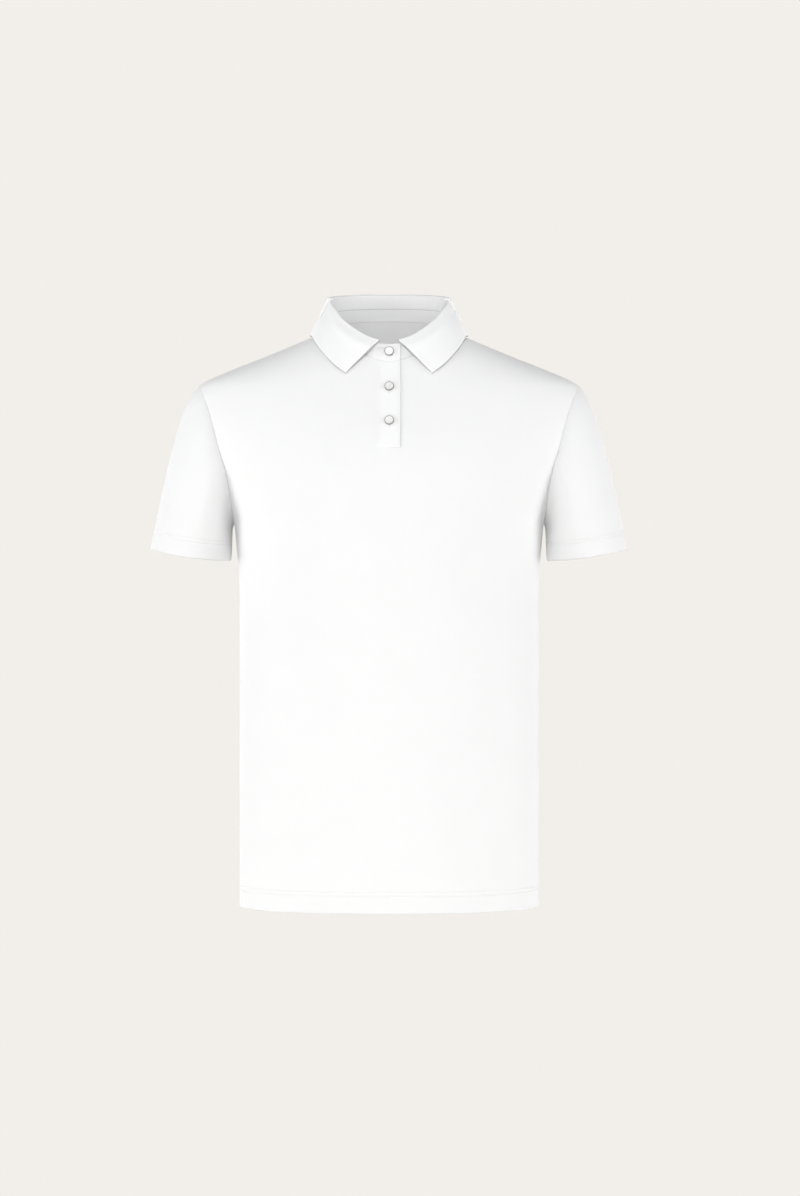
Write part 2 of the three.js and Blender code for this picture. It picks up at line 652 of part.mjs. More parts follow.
// Collar leaf: its middle lines round the neck, given their thickness to both sides
function leafGeometry() {
  const half = neckPlaces(LEAF_START).slice(1);
  const startTurn = half[0].turn;
  const ring = [...half, ...half.slice(0, -1).reverse().map(mirrorPlace)];
  const lines = ring.map((place) => leafLine(place, startTurn));
  const middle = lines[0].map((unused, row) => lines.map((line) => line[row]));
  const normals = gridNormals(middle, false);
  const inner = middle.map((row, i) => row.map((point, j) => (
    point.clone().addScaledVector(normals[i][j], COLLAR_CLOTH / 2))));
  return clothWall(inner, { normals, thickness: () => COLLAR_CLOTH });
}

// Button: a turned disc with a rounded edge, a raised rim and a dished face
function buttonGeometry() {
  const { radius, thickness, edge, rimRadius, rimDrop, dishRadius, dishDepth, sides } = BUTTON;
  const profile = [
    [0, 0],
    [radius - edge, 0],
    [radius, edge],
    [radius, thickness - edge],
    [radius - edge, thickness],
    [rimRadius, thickness - rimDrop],
    [dishRadius, thickness - dishDepth],
    [0, thickness - dishDepth],
  ].map(([across, up]) => new THREE.Vector2(across, up));
  const geometry = new THREE.LatheGeometry(profile, sides);
  geometry.rotateX(Math.PI / 2);
  return geometry;
}

// A button stands on the cloth at a point, facing along the cloth's outward direction
function placeButton(mesh, point, outward) {
  mesh.position.copy(point).addScaledVector(outward, SEAM_GAP);
  mesh.quaternion.setFromUnitVectors(UP, outward);
}

// Point and outward direction of the stand's upper lap at a height, where the top button sits
function standButtonSeat() {
  const { rise } = collarFrame({ turn: 0, outward: new THREE.Vector3(0, -1, 0) });
  const onStand = (across, height) => {
    const seam = lapPoint(true, across, neckHeight(-1, across));
    return seam.addScaledVector(rise, (height - seam.z) / rise.z);
  };
  return {
    point: onStand(BUTTON_SIDE, STAND_BUTTON_HEIGHT),
    outward: squareTo(onStand, BUTTON_SIDE, STAND_BUTTON_HEIGHT),
  };
}

// Point and outward direction of the upper placket strip at a height
function placketButtonSeat(height) {
  return { point: lapPoint(true, BUTTON_SIDE, height), outward: lapNormal(true, BUTTON_SIDE, height) };
}

const jersey = new THREE.MeshStandardMaterial(WHITE_JERSEY);
const pearl = new THREE.MeshStandardMaterial(PEARL_BUTTON);
const polo = new THREE.Group();

function addPiece(name, geometry, material) {
  const mesh = new THREE.Mesh(geometry, material.clone());
  mesh.name = name;
  polo.add(mesh);
  return mesh;
}

addPiece('front', panelGeometry(-1), jersey);
addPiece('back', panelGeometry(1), jersey);
addPiece('sleeve_left', sleeveGeometry(-1), jersey);
addPiece('sleeve_right', sleeveGeometry(1), jersey);
addPiece('collar_stand', standGeometry(), jersey);
addPiece('collar_leaf', leafGeometry(), jersey);
addPiece('placket_top', placketGeometry(true), jersey);
addPiece('placket_under', placketGeometry(false), jersey);

const buttonSeats = [standButtonSeat(), ...PLACKET_BUTTON_HEIGHTS.map(placketButtonSeat)];
buttonSeats.forEach((seat, index) => {
  const button = addPiece(`button_${index + 1}`, buttonGeometry(), pearl);
  placeButton(button, seat.point, seat.outward);
});

export default polo;
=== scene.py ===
import logging
import math
from collections.abc import Callable
from dataclasses import dataclass, field
from enum import Enum

import bpy
import numpy as np
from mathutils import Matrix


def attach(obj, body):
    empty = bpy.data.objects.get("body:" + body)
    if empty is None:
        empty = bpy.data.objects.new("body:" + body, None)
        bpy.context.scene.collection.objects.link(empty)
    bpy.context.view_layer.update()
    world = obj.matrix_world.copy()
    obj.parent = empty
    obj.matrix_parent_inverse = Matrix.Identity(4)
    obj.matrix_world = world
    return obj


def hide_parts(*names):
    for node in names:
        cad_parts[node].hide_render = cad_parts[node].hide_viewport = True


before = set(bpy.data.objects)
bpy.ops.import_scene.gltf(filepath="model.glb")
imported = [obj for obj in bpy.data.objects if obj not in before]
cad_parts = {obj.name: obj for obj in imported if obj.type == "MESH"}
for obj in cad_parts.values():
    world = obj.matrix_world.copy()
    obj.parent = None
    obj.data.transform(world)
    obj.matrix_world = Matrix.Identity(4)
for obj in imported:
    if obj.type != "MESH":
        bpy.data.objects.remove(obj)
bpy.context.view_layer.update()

# Polo shirt with short sleeves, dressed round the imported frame. Lengths are worked out in millimetres and
# go into the meshes in metres. +Z is up, the front faces -Y and the right of a viewer in front is +X.

LOG = logging.getLogger("polo_shirt")
MM = 0.001
ROOT = "root"
Array = np.ndarray
Surface = Callable[[Array, Array], Array]

# Cloth and sewing, as in the frame
PANEL_CLOTH = 1.2
HEM_CLOTH = 2.3
COLLAR_CLOTH = 1.6
PLACKET_CLOTH = 1.2
SEAM_GAP = 0.3
SEAM_CLOSE = 0.04
LAP_STEP = 1.9

# Heights below the origin
HEM_HEIGHT = -707.0
ARMPIT_HEIGHT = -238.0
SHOULDER_TIP_HEIGHT = -67.5
FRONT_NECK_HEIGHT = -42.0
BACK_NECK_HEIGHT = 16.0
PLACKET_END_HEIGHT = -147.5

# Widths, and how the neck seam falls
NECK_HALF_WIDTH = 75.5
PLACKET_HALF_WIDTH = 13.5
PLACKET_EDGE_OVERHANG = 0.7
STAND_LAP_END = 14.5
LEAF_START = 12.0
FRONT_NECK_POWER = 2.5
BACK_NECK_POWER = 0.75

# Share of a half panel's columns that lie on the neck seam; the rest lie on the shoulder seam
NECK_SHARE = 7 / 13

# Cloth edges are shaped over half their thickness, at these shares of it
EDGE_STEPS = (0.0, 0.2, 0.56, 1.0)

# Angle in radians past which a mesh edge is shaded sharp, and the steps of a search by halving
SHARP_ANGLE = 1.1
HALVINGS = 40

# Grooves that stitches pull into a hem, and how deep the thread lies in the cloth there and elsewhere
GROOVE_DEPTH = 0.34
GROOVE_WIDTH = 0.8
HEM_THREAD_SINK = 0.2
THREAD_SINK = 0.05

# Colour of the ground behind the shirt
GROUND = (0.888, 0.863, 0.823)


class Edge(Enum):
    """How an edge of a piece of cloth ends: its share of the thickness at each of the edge's steps."""

    OPEN = (1.0, 1.0, 1.0, 1.0)
    FOLD = (0.2, 0.6, 0.9, 1.0)
    SEAM = (0.8, 0.9, 0.97, 1.0)
    NECK = (0.52, 0.78, 0.94, 1.0)


class Side(Enum):
    """The half of the shirt that a panel belongs to, with the sign of its depth."""

    FRONT = -1
    BACK = 1


class Hand(Enum):
    """The side of the shirt as a viewer in front sees it, with the sign of its distance."""

    LEFT = -1
    RIGHT = 1


class SmoothTable:
    """Numbers listed at rising places, joined by cubic pieces that pass each row and never overshoot."""

    def __init__(self, places: list[float], **columns: list[float]) -> None:
        """Keeps the columns with the slope of each at every row.

        Args:
            places: the rising places of the rows.
            columns: the numbers of each named column, one for each place.
        """
        self.places = np.array(places, float)
        self.columns = {name: np.array(values, float) for name, values in columns.items()}
        self.slopes = {name: self._slopes(values) for name, values in self.columns.items()}

    def _slopes(self, values: Array) -> Array:
        """Slope at each row: the harmonic mean of the chords beside it, or none where it turns round."""
        chords = np.diff(values) / np.diff(self.places)
        left, right = chords[:-1], chords[1:]
        turns = left * right <= 0
        total = np.where(turns, 1.0, left + right)
        inner = np.where(turns, 0.0, 2 * left * right / total)
        return np.concatenate([chords[:1], inner, chords[-1:]])

    def at(self, column: str, place: Array | float) -> Array:
        """Value of a column: a cubic with the rows' values and slopes at the two ends of its span.

        Args:
            column: the name of the column.
            place: where it is wanted, held inside the table's range.
        Returns:
            The value at each place.
        """
        held = np.clip(np.asarray(place, float), self.places[0], self.places[-1])
        after = np.clip(np.searchsorted(self.places, held), 1, len(self.places) - 1)
        before = after - 1
        span = self.places[after] - self.places[before]
        t = (held - self.places[before]) / span
        u = 1 - t
        values, slopes = self.columns[column], self.slopes[column]
        return (
            values[before] * u * u * (1 + 2 * t)
            + values[after] * t * t * (3 - 2 * t)
            + slopes[before] * span * t * u * u
            - slopes[after] * span * t * t * u
        )


BODY_SECTIONS = SmoothTable(
    [-707, -580, -450, -350, -310, -285, -262, -238, -195, -150, -110, -85, -67.5, -60, -48.5,
     -35.5, -22, -10.5, 0, 5, 16],
    half_width=[183.6, 183.6, 183.6, 183.6, 183.7, 185.4, 187.8, 190.2, 209, 236, 246.5, 243.5, 233, 220, 193,
                160, 127, 100, 75.5, 74.3, 70],
    front=[116, 113, 114, 118, 120, 121, 121.3, 120.6, 117, 107.5, 94.5, 85, 78, 75, 70.5,
           65, 57.5, 52, 48, 47, 46],
    back=[108, 102, 99, 103, 107, 109, 110.3, 111.3, 112.5, 110.5, 104.5, 98, 92, 89.5, 85,
          79.5, 74, 69.5, 66, 64.5, 62],
    power=[2.45, 2.45] + [2.4] * 19,
)
ARMHOLE_SEAM = SmoothTable(
    [-238, -195, -171, -152, -98, -67.5],
    half_width=[190.2, 194.8, 199.2, 205, 220, 233],
)
SLEEVE_SET = SmoothTable(
    [0, 0.25, 0.5, 0.75, 1],
    outward=[0.85, 0.62, 0.6, 0.66, 0.76],
    forward=[0, 0.6, 0.5, 0.36, 0],
    down=[0.53, 0.55, 0.62, 0.66, 0.65],
    start=[14, 60, 105, 112, 112],
    end=[40, 80, 120, 165, 190],
)
COLLAR_SECTIONS = SmoothTable(
    [0, 0.15, 0.27, 0.38, 0.5, 0.7, 1],
    stand=[22, 21, 19, 19, 19, 17, 15.5],
    fold=[25.5, 24.5, 24.5, 31, 37.5, 35, 32.5],
    lean=[0.2, 0.17, 0.14, 0.13, 0.15, 0.15, 0.14],
)
LEAF_FRONT_EDGE = SmoothTable(
    [0, 0.3, 0.58, 0.8, 1],
    side=[52.5, 67.8, 81.2, 90.5, 96],
    depth=[72.9, 66.1, 54.3, 35, 0],
)


def lerp(start: Array | float, end: Array | float, share: Array | float) -> Array | float:
    """The value a share of the way from start to end, on a straight line."""
    return start + (end - start) * share


def smooth_step(share: Array | float) -> Array:
    """0 below 0, 1 above 1, and an even S-shaped rise between them."""
    held = np.clip(share, 0, 1)
    return held * held * (3 - 2 * held)


def unit(vectors: Array) -> Array:
    """The vectors at length 1."""
    return vectors / np.linalg.norm(vectors, axis=-1, keepdims=True)


def stack(x: Array | float, y: Array | float, z: Array | float) -> Array:
    """Points from three arrays or numbers of one shape."""
    return np.stack(np.broadcast_arrays(np.asarray(x, float), y, z), axis=-1)


def mirrored(vectors: Array) -> Array:
    """The mirror image on the viewer's other side."""
    return vectors * np.array([-1.0, 1.0, 1.0])


def eased_steps(cells: int) -> Array:
    """Steps from 0 to 1 that bunch up at both ends: half of one less the cosine of even angles."""
    return (1 - np.cos(np.pi * np.arange(cells + 1) / cells)) / 2


def path_lengths(points: Array) -> Array:
    """Length run along a path of points up to each of them, over the second last axis."""
    steps = np.linalg.norm(np.diff(points, axis=-2), axis=-1)
    first = np.zeros(steps.shape[:-1] + (1,))
    return np.concatenate([first, np.cumsum(steps, axis=-1)], axis=-1)


def along_path(places: Array, run: Array, values: Array) -> Array:
    """Values at places on a path: each of their three columns, read between the nearest points."""
    return np.stack([np.interp(places, run, values[:, axis]) for axis in range(3)], axis=-1)


def ring_quads(rings: int, sides: int) -> Array:
    """Faces between neighbouring rings of points, as the numbers of their four points."""
    ring, side = np.meshgrid(np.arange(rings - 1), np.arange(sides), indexing="ij")
    after = (side + 1) % sides
    return np.stack([
        ring * sides + side, (ring + 1) * sides + side,
        (ring + 1) * sides + after, ring * sides + after,
    ], axis=-1).reshape(-1, 4)


def hem_grooves(relief: Array, from_fold: Array, places: tuple[float, float], fine: Array,
                coarse: Array) -> Array:
    """The relief with grooves under the stitches: bell curves that two waves along the hem make uneven.

    Args:
        relief: height of the cloth so far.
        from_fold: distance from the hem's fold.
        places: that distance at each row of stitches.
        fine: angle of the fine wave.
        coarse: angle of the coarse wave.
    Returns:
        The height with the grooves.
    """
    for place in places:
        pucker = 1 + 0.35 * np.sin(fine + place) + 0.25 * np.sin(coarse + 2 * place)
        relief = relief - GROOVE_DEPTH * pucker * np.exp(-(((from_fold - place) / GROOVE_WIDTH) ** 2))
    return relief


class BodyForm:
    """The filled-out body of the shirt as level ovals, which every other piece is set on."""

    def point(self, side: Side, across: Array, height: Array) -> Array:
        """Point of the outer cloth: the oval's depth times the root of 1 - (x / half width)^power.

        Args:
            side: front or back.
            across: distance from the middle.
            height: height above the origin.
        Returns:
            The points.
        """
        half_width = BODY_SECTIONS.at("half_width", height)
        depth = BODY_SECTIONS.at("front" if side is Side.FRONT else "back", height)
        power = BODY_SECTIONS.at("power", height)
        share = np.minimum(1, np.abs(across) / half_width)
        out = depth * np.sqrt(1 - share**power)
        return stack(across, side.value * (SEAM_CLOSE / 2 + out), height)

    def normal(self, side: Side, across: Array, height: Array) -> Array:
        """Outward direction of the cloth, square to small steps across and up."""
        return -side.value * square_to(lambda x, z: self.point(side, x, z), across, height)

    def shoulder_height(self, across: Array) -> Array:
        """Height of the shoulder seam, found by halving: where the level oval is just that wide."""
        low = np.full(np.shape(across), SHOULDER_TIP_HEIGHT)
        high = np.zeros(np.shape(across))
        for _ in range(HALVINGS):
            middle = (low + high) / 2
            wide = BODY_SECTIONS.at("half_width", middle) > across
            low, high = np.where(wide, middle, low), np.where(wide, high, middle)
        return (low + high) / 2

    def height_at_depth(self, side: Side, across: Array, depth: Array) -> Array:
        """Height at which the cloth has a given depth, found by halving below the shoulder seam."""
        low = np.full(np.shape(across), ARMPIT_HEIGHT / 2)
        high = self.shoulder_height(across)
        for _ in range(HALVINGS):
            middle = (low + high) / 2
            deep = np.abs(self.point(side, across, middle)[..., 1]) > depth
            low, high = np.where(deep, middle, low), np.where(deep, high, middle)
        return (low + high) / 2

    def neck_height(self, side: Side, across: Array) -> Array:
        """Height of the neck seam: its middle height times a power of the cosine across the neck."""
        cosine = np.sqrt(np.maximum(0, 1 - (np.asarray(across) / NECK_HALF_WIDTH) ** 2))
        if side is Side.FRONT:
            return FRONT_NECK_HEIGHT * cosine**FRONT_NECK_POWER
        return BACK_NECK_HEIGHT * cosine**BACK_NECK_POWER


def square_to(surface: Surface, across: Array, height: Array) -> Array:
    """Direction square to a surface given by distance and height, from steps of a quarter millimetre."""
    step = 0.25
    beside = surface(across + step, height) - surface(across - step, height)
    above = surface(across, height + step) - surface(across, height - step)
    return unit(np.cross(beside, above))


BODY = BodyForm()


def grid_normals(grid: Array, closed: bool = False, first_steps: Array | None = None) -> Array:
    """Normals of a grid of points: the step along the row crossed with the step along the column.

    Args:
        grid: points, rows by columns.
        closed: whether the last column runs on into the first.
        first_steps: the direction in which the columns leave the first row, where that is known.
    Returns:
        A direction for each point.
    """
    if closed:
        along = np.roll(grid, -1, axis=1) - np.roll(grid, 1, axis=1)
    else:
        along = np.gradient(grid, axis=1)
    up = np.gradient(grid, axis=0)
    if first_steps is not None:
        up[0] = first_steps
    return unit(np.cross(along, up))


def edge_steps(thickness: float) -> Array:
    """Distances in from an edge at which cloth of a thickness is shaped."""
    return np.array(EDGE_STEPS) * thickness / 2


def pinch_of(grid: Array, row_ends: tuple[Edge, Edge], column_ends: tuple[Edge, Edge]) -> Array:
    """Share of the cloth's thickness at each point of a grid, less towards shaped edges.

    Args:
        grid: the points, rows by columns.
        row_ends: how the cloth ends at the first and the last row.
        column_ends: how it ends at the first and the last column.
    Returns:
        The shares, rows by columns.
    """
    def along(count: int, ends: tuple[Edge, Edge]) -> Array:
        """Shares along one direction."""
        line = np.ones(count)
        line[: len(EDGE_STEPS)] = ends[0].value
        line[-len(EDGE_STEPS):] = np.minimum(line[-len(EDGE_STEPS):], ends[1].value[::-1])
        return line

    rows, columns = grid.shape[:2]
    return np.minimum(along(rows, row_ends)[:, None], along(columns, column_ends)[None, :])


def shell_quads(keep: Array, closed: bool) -> tuple[Array, Array, Array]:
    """Faces of a wall of cloth: both sides of each kept cell, and a rim where its neighbour isn't kept.

    Args:
        keep: which cells of the grid are there, rows by columns of cells.
        closed: whether the last column of points runs on into the first.
    Returns:
        Corners of each face as (row, column, layer), where layer 0 is the outer side.
    """
    row, column = np.nonzero(keep)
    padded = np.pad(keep, 1)
    if closed:
        padded[1:-1, 0] = keep[:, -1]
        padded[1:-1, -1] = keep[:, 0]

    def faces(mask: Array, corners: list[tuple[int, int, int]]) -> Array:
        """One face for each masked cell, from corner steps (up, right, layer)."""
        i, j = row[mask], column[mask]
        return np.stack(
            [np.stack([i + up, j + right, np.full(len(i), layer)], axis=-1) for up, right, layer in corners],
            axis=1,
        )

    everywhere = np.ones(len(row), bool)
    return np.concatenate([
        faces(everywhere, [(0, 0, 0), (0, 1, 0), (1, 1, 0), (1, 0, 0)]),
        faces(everywhere, [(1, 0, 1), (1, 1, 1), (0, 1, 1), (0, 0, 1)]),
        faces(~padded[row, column + 1], [(0, 1, 0), (0, 0, 0), (0, 0, 1), (0, 1, 1)]),
        faces(~padded[row + 1, column + 2], [(1, 1, 0), (0, 1, 0), (0, 1, 1), (1, 1, 1)]),
        faces(~padded[row + 2, column + 1], [(1, 0, 0), (1, 1, 0), (1, 1, 1), (1, 0, 1)]),
        faces(~padded[row + 1, column], [(0, 0, 0), (1, 0, 0), (1, 0, 1), (0, 0, 1)]),
    ])


def new_object(name: str, points: Array, faces: list, corner_uv: Array | None = None) -> bpy.types.Object:
    """A smooth mesh object at the origin.

    Args:
        name: the object's name.
        points: its points, in millimetres.
        faces: for each face its points in order.
        corner_uv: place of each corner of each face on the flat cloth, in metres.
    Returns:
        The object, in the scene.
    """
    mesh = bpy.data.meshes.new(name)
    mesh.from_pydata((points * MM).tolist(), [], faces)
    if corner_uv is not None:
        layer = mesh.uv_layers.new(name="cloth")
        layer.data.foreach_set("uv", corner_uv.astype(np.float32).ravel())
    mesh.polygons.foreach_set("use_smooth", np.ones(len(mesh.polygons), bool))
    mesh.set_sharp_from_angle(angle=SHARP_ANGLE)
    mesh.update()
    thing = bpy.data.objects.new(name, mesh)
    bpy.context.scene.collection.objects.link(thing)
    return thing


@dataclass
class ClothWall:
    """A wall of cloth: the grid is its outer side, and its inner side lies under it by the thickness.

    A point of the outer side sits at grid - normal * thickness * (1 - pinch) / 2, and its partner on the
    inner side at grid - normal * thickness * (1 + pinch) / 2, so the wall's edges come out round.
    """

    name: str
    grid: Array
    normals: Array
    thickness: Array | float
    pinch: Array
    closed: bool = False
    keep: Array | None = None

    def ring(self) -> Array:
        """The grid, with its first column again at the end where it is closed."""
        return np.concatenate([self.grid, self.grid[:, :1]], axis=1) if self.closed else self.grid

    def flat_size(self) -> tuple[float, float, float]:
        """Widest row, longest column and area of the outer side, in metres and square metres."""
        ring = self.ring()
        width = path_lengths(ring)[:, -1].max() * MM
        length = path_lengths(np.swapaxes(ring, 0, 1))[:, -1].max() * MM
        first = ring[1:, 1:] - ring[:-1, :-1]
        second = ring[1:, :-1] - ring[:-1, 1:]
        areas = np.linalg.norm(np.cross(first, second), axis=-1) / 2
        kept = areas if self.keep is None else areas[self.keep]
        return width, length, min(float(kept.sum()) * MM * MM, width * length)

    def build(self) -> bpy.types.Object:
        """The wall as a mesh, with its cloth laid out flat in a UV map.

        Returns:
            The object.
        """
        rows, columns = self.grid.shape[:2]
        thickness = np.broadcast_to(np.asarray(self.thickness, float), (rows, columns))[..., None]
        pinch = self.pinch[..., None]
        outer = self.grid - self.normals * thickness * (1 - pinch) / 2
        inner = self.grid - self.normals * thickness * (1 + pinch) / 2
        cell_columns = columns if self.closed else columns - 1
        keep = np.ones((rows - 1, cell_columns), bool) if self.keep is None else self.keep
        quads = shell_quads(keep, self.closed)
        numbers = quads[..., 2] * rows * columns + quads[..., 0] * columns + quads[..., 1] % columns
        used, compact = np.unique(numbers, return_inverse=True)
        points = np.concatenate([outer.reshape(-1, 3), inner.reshape(-1, 3)])[used]
        ring = self.ring()
        middle = ring.shape[1] // 2
        across = path_lengths(ring)
        across = across - across[:, middle: middle + 1]
        along = np.swapaxes(path_lengths(np.swapaxes(ring, 0, 1)), 0, 1)
        flat = np.stack([across, along], axis=-1) * MM
        corner_uv = flat[quads[..., 0], quads[..., 1]]
        made = new_object(self.name, points, compact.reshape(-1, 4).tolist(), corner_uv)
        # Painted shade for the edges: 1 where the cloth is pinched thinnest at a rounded edge, falling to 0
        # in the open
        painted_edge_shade = np.tile(smooth_step((1 - self.pinch) / 0.8).ravel(), 2)[used]
        edge = made.data.attributes.new("edge", "FLOAT", "POINT")
        edge.data.foreach_set("value", painted_edge_shade.astype(np.float32))
        return made


@dataclass(frozen=True)
class Crease:
    """One soft fold of the cloth: a line on a piece, with its width and its depth, troughs below 0."""

    start: tuple[float, float]
    end: tuple[float, float]
    width: float
    depth: float
    bow: float = 0.0


def crease_relief(creases: list[Crease], across: Array, along: Array) -> Array:
    """Height of all creases: each a bell curve across its bowed line, that fades out to both ends.

    Args:
        creases: the folds, in the same two measures as the places.
        across: first measure of each place.
        along: second measure of each place.
    Returns:
        The height at each place.
    """
    relief = np.zeros(np.broadcast(across, along).shape)
    for crease in creases:
        start, end = np.array(crease.start, float), np.array(crease.end, float)
        reach = np.linalg.norm(end - start)
        direction = (end - start) / reach
        run = ((across - start[0]) * direction[0] + (along - start[1]) * direction[1]) / reach
        aside = (along - start[1]) * direction[0] - (across - start[0]) * direction[1]
        held = np.clip(run, 0, 1)
        bowed = aside - crease.bow * np.sin(np.pi * held)
        fade = np.sin(np.pi * held) ** 1.3
        relief += crease.depth * fade * np.exp(-((bowed / crease.width) ** 2))
    return relief


@dataclass(frozen=True)
class StitchForm:
    """A stitch of sewing thread: a small round bar whose ends dip into the cloth."""

    length: float = 2.2
    pitch: float = 2.9
    radius: float = 0.2
    rise: float = 0.16
    lie: float = 0.02
    sides: int = 6

    def template(self) -> tuple[Array, list[list[int]]]:
        """Points (along, aside, up) of one stitch and its faces: rings about a bar that arches up."""
        places = np.array([-0.5, -0.36, 0.0, 0.36, 0.5])
        widths = np.array([0.45, 0.95, 1.0, 0.95, 0.45])
        turns = 2 * np.pi * np.arange(self.sides) / self.sides
        arch = self.rise * (1 - (2 * places) ** 2) + self.lie
        along = np.repeat(places * self.length, self.sides)
        aside = np.outer(widths, np.cos(turns)).ravel() * self.radius
        up = np.outer(widths, np.sin(turns)).ravel() * self.radius + np.repeat(arch, self.sides)
        faces = ring_quads(len(places), self.sides)[:, [0, 3, 2, 1]].tolist()
        faces.append(list(range(self.sides))[::-1])
        faces.append([(len(places) - 1) * self.sides + side for side in range(self.sides)])
        return np.stack([along, aside, up], axis=-1), faces


@dataclass
class StitchRun:
    """A row of stitches along a path on the cloth."""

    path: Array
    normals: Array
    form: StitchForm = field(default_factory=StitchForm)
    crossways: bool = False

    def places(self) -> tuple[Array, Array, Array, Array]:
        """Middle of each stitch with its directions along, aside and up, at an even pitch on the path."""
        run = path_lengths(self.path)
        count = max(1, int(run[-1] // self.form.pitch))
        middles = (np.arange(count) + 0.5) * run[-1] / count
        at = along_path(middles, run, self.path)
        up = unit(along_path(middles, run, self.normals))
        along = along_path(middles, run, np.gradient(self.path, run, axis=0))
        aside = unit(np.cross(up, along))
        along = np.cross(aside, up)
        if self.crossways:
            along, aside = aside, -along
        return at, along, aside, up


def stitched(name: str, runs: list[StitchRun]) -> bpy.types.Object:
    """All stitches of several rows as one mesh: the template carried to each place on the paths.

    Args:
        name: the object's name.
        runs: the rows of stitches.
    Returns:
        The object.
    """
    points, faces, first = [], [], 0
    for run in runs:
        template, template_faces = run.form.template()
        at, along, aside, up = run.places()
        placed = (
            at[:, None]
            + along[:, None] * template[None, :, :1]
            + aside[:, None] * template[None, :, 1:2]
            + up[:, None] * template[None, :, 2:]
        )
        points.append(placed.reshape(-1, 3))
        for number in range(len(at)):
            base = first + number * len(template)
            faces += [[base + corner for corner in face] for face in template_faces]
        first += len(at) * len(template)
    return new_object(name, np.concatenate(points), faces)


class Piece:
    """A finished piece of the shirt, which hides the frame's nodes that it stands for and takes a material.
    """

    def __init__(self, thing: bpy.types.Object, slot: str, nodes: tuple[str, ...] = ()) -> None:
        """Puts the piece on the shirt's one body.

        Args:
            thing: the object.
            slot: not used.
            nodes: the frame's nodes that it stands for.
        """
        self.thing = thing
        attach(thing, ROOT)
        if nodes:
            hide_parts(*nodes)

    def dress(self, material: bpy.types.Material) -> None:
        """Gives the piece its material."""
        self.thing.data.materials.append(material)

    def declare_sheet(self, wall: ClothWall) -> None:
        """Logs the size of the piece's cut of cloth: its widest row, longest column and area."""
        width, length, area = wall.flat_size()
        LOG.info("%s: cut %.0f x %.0f mm, %.4f square metres", self.thing.name, width / MM, length / MM,
                 area)


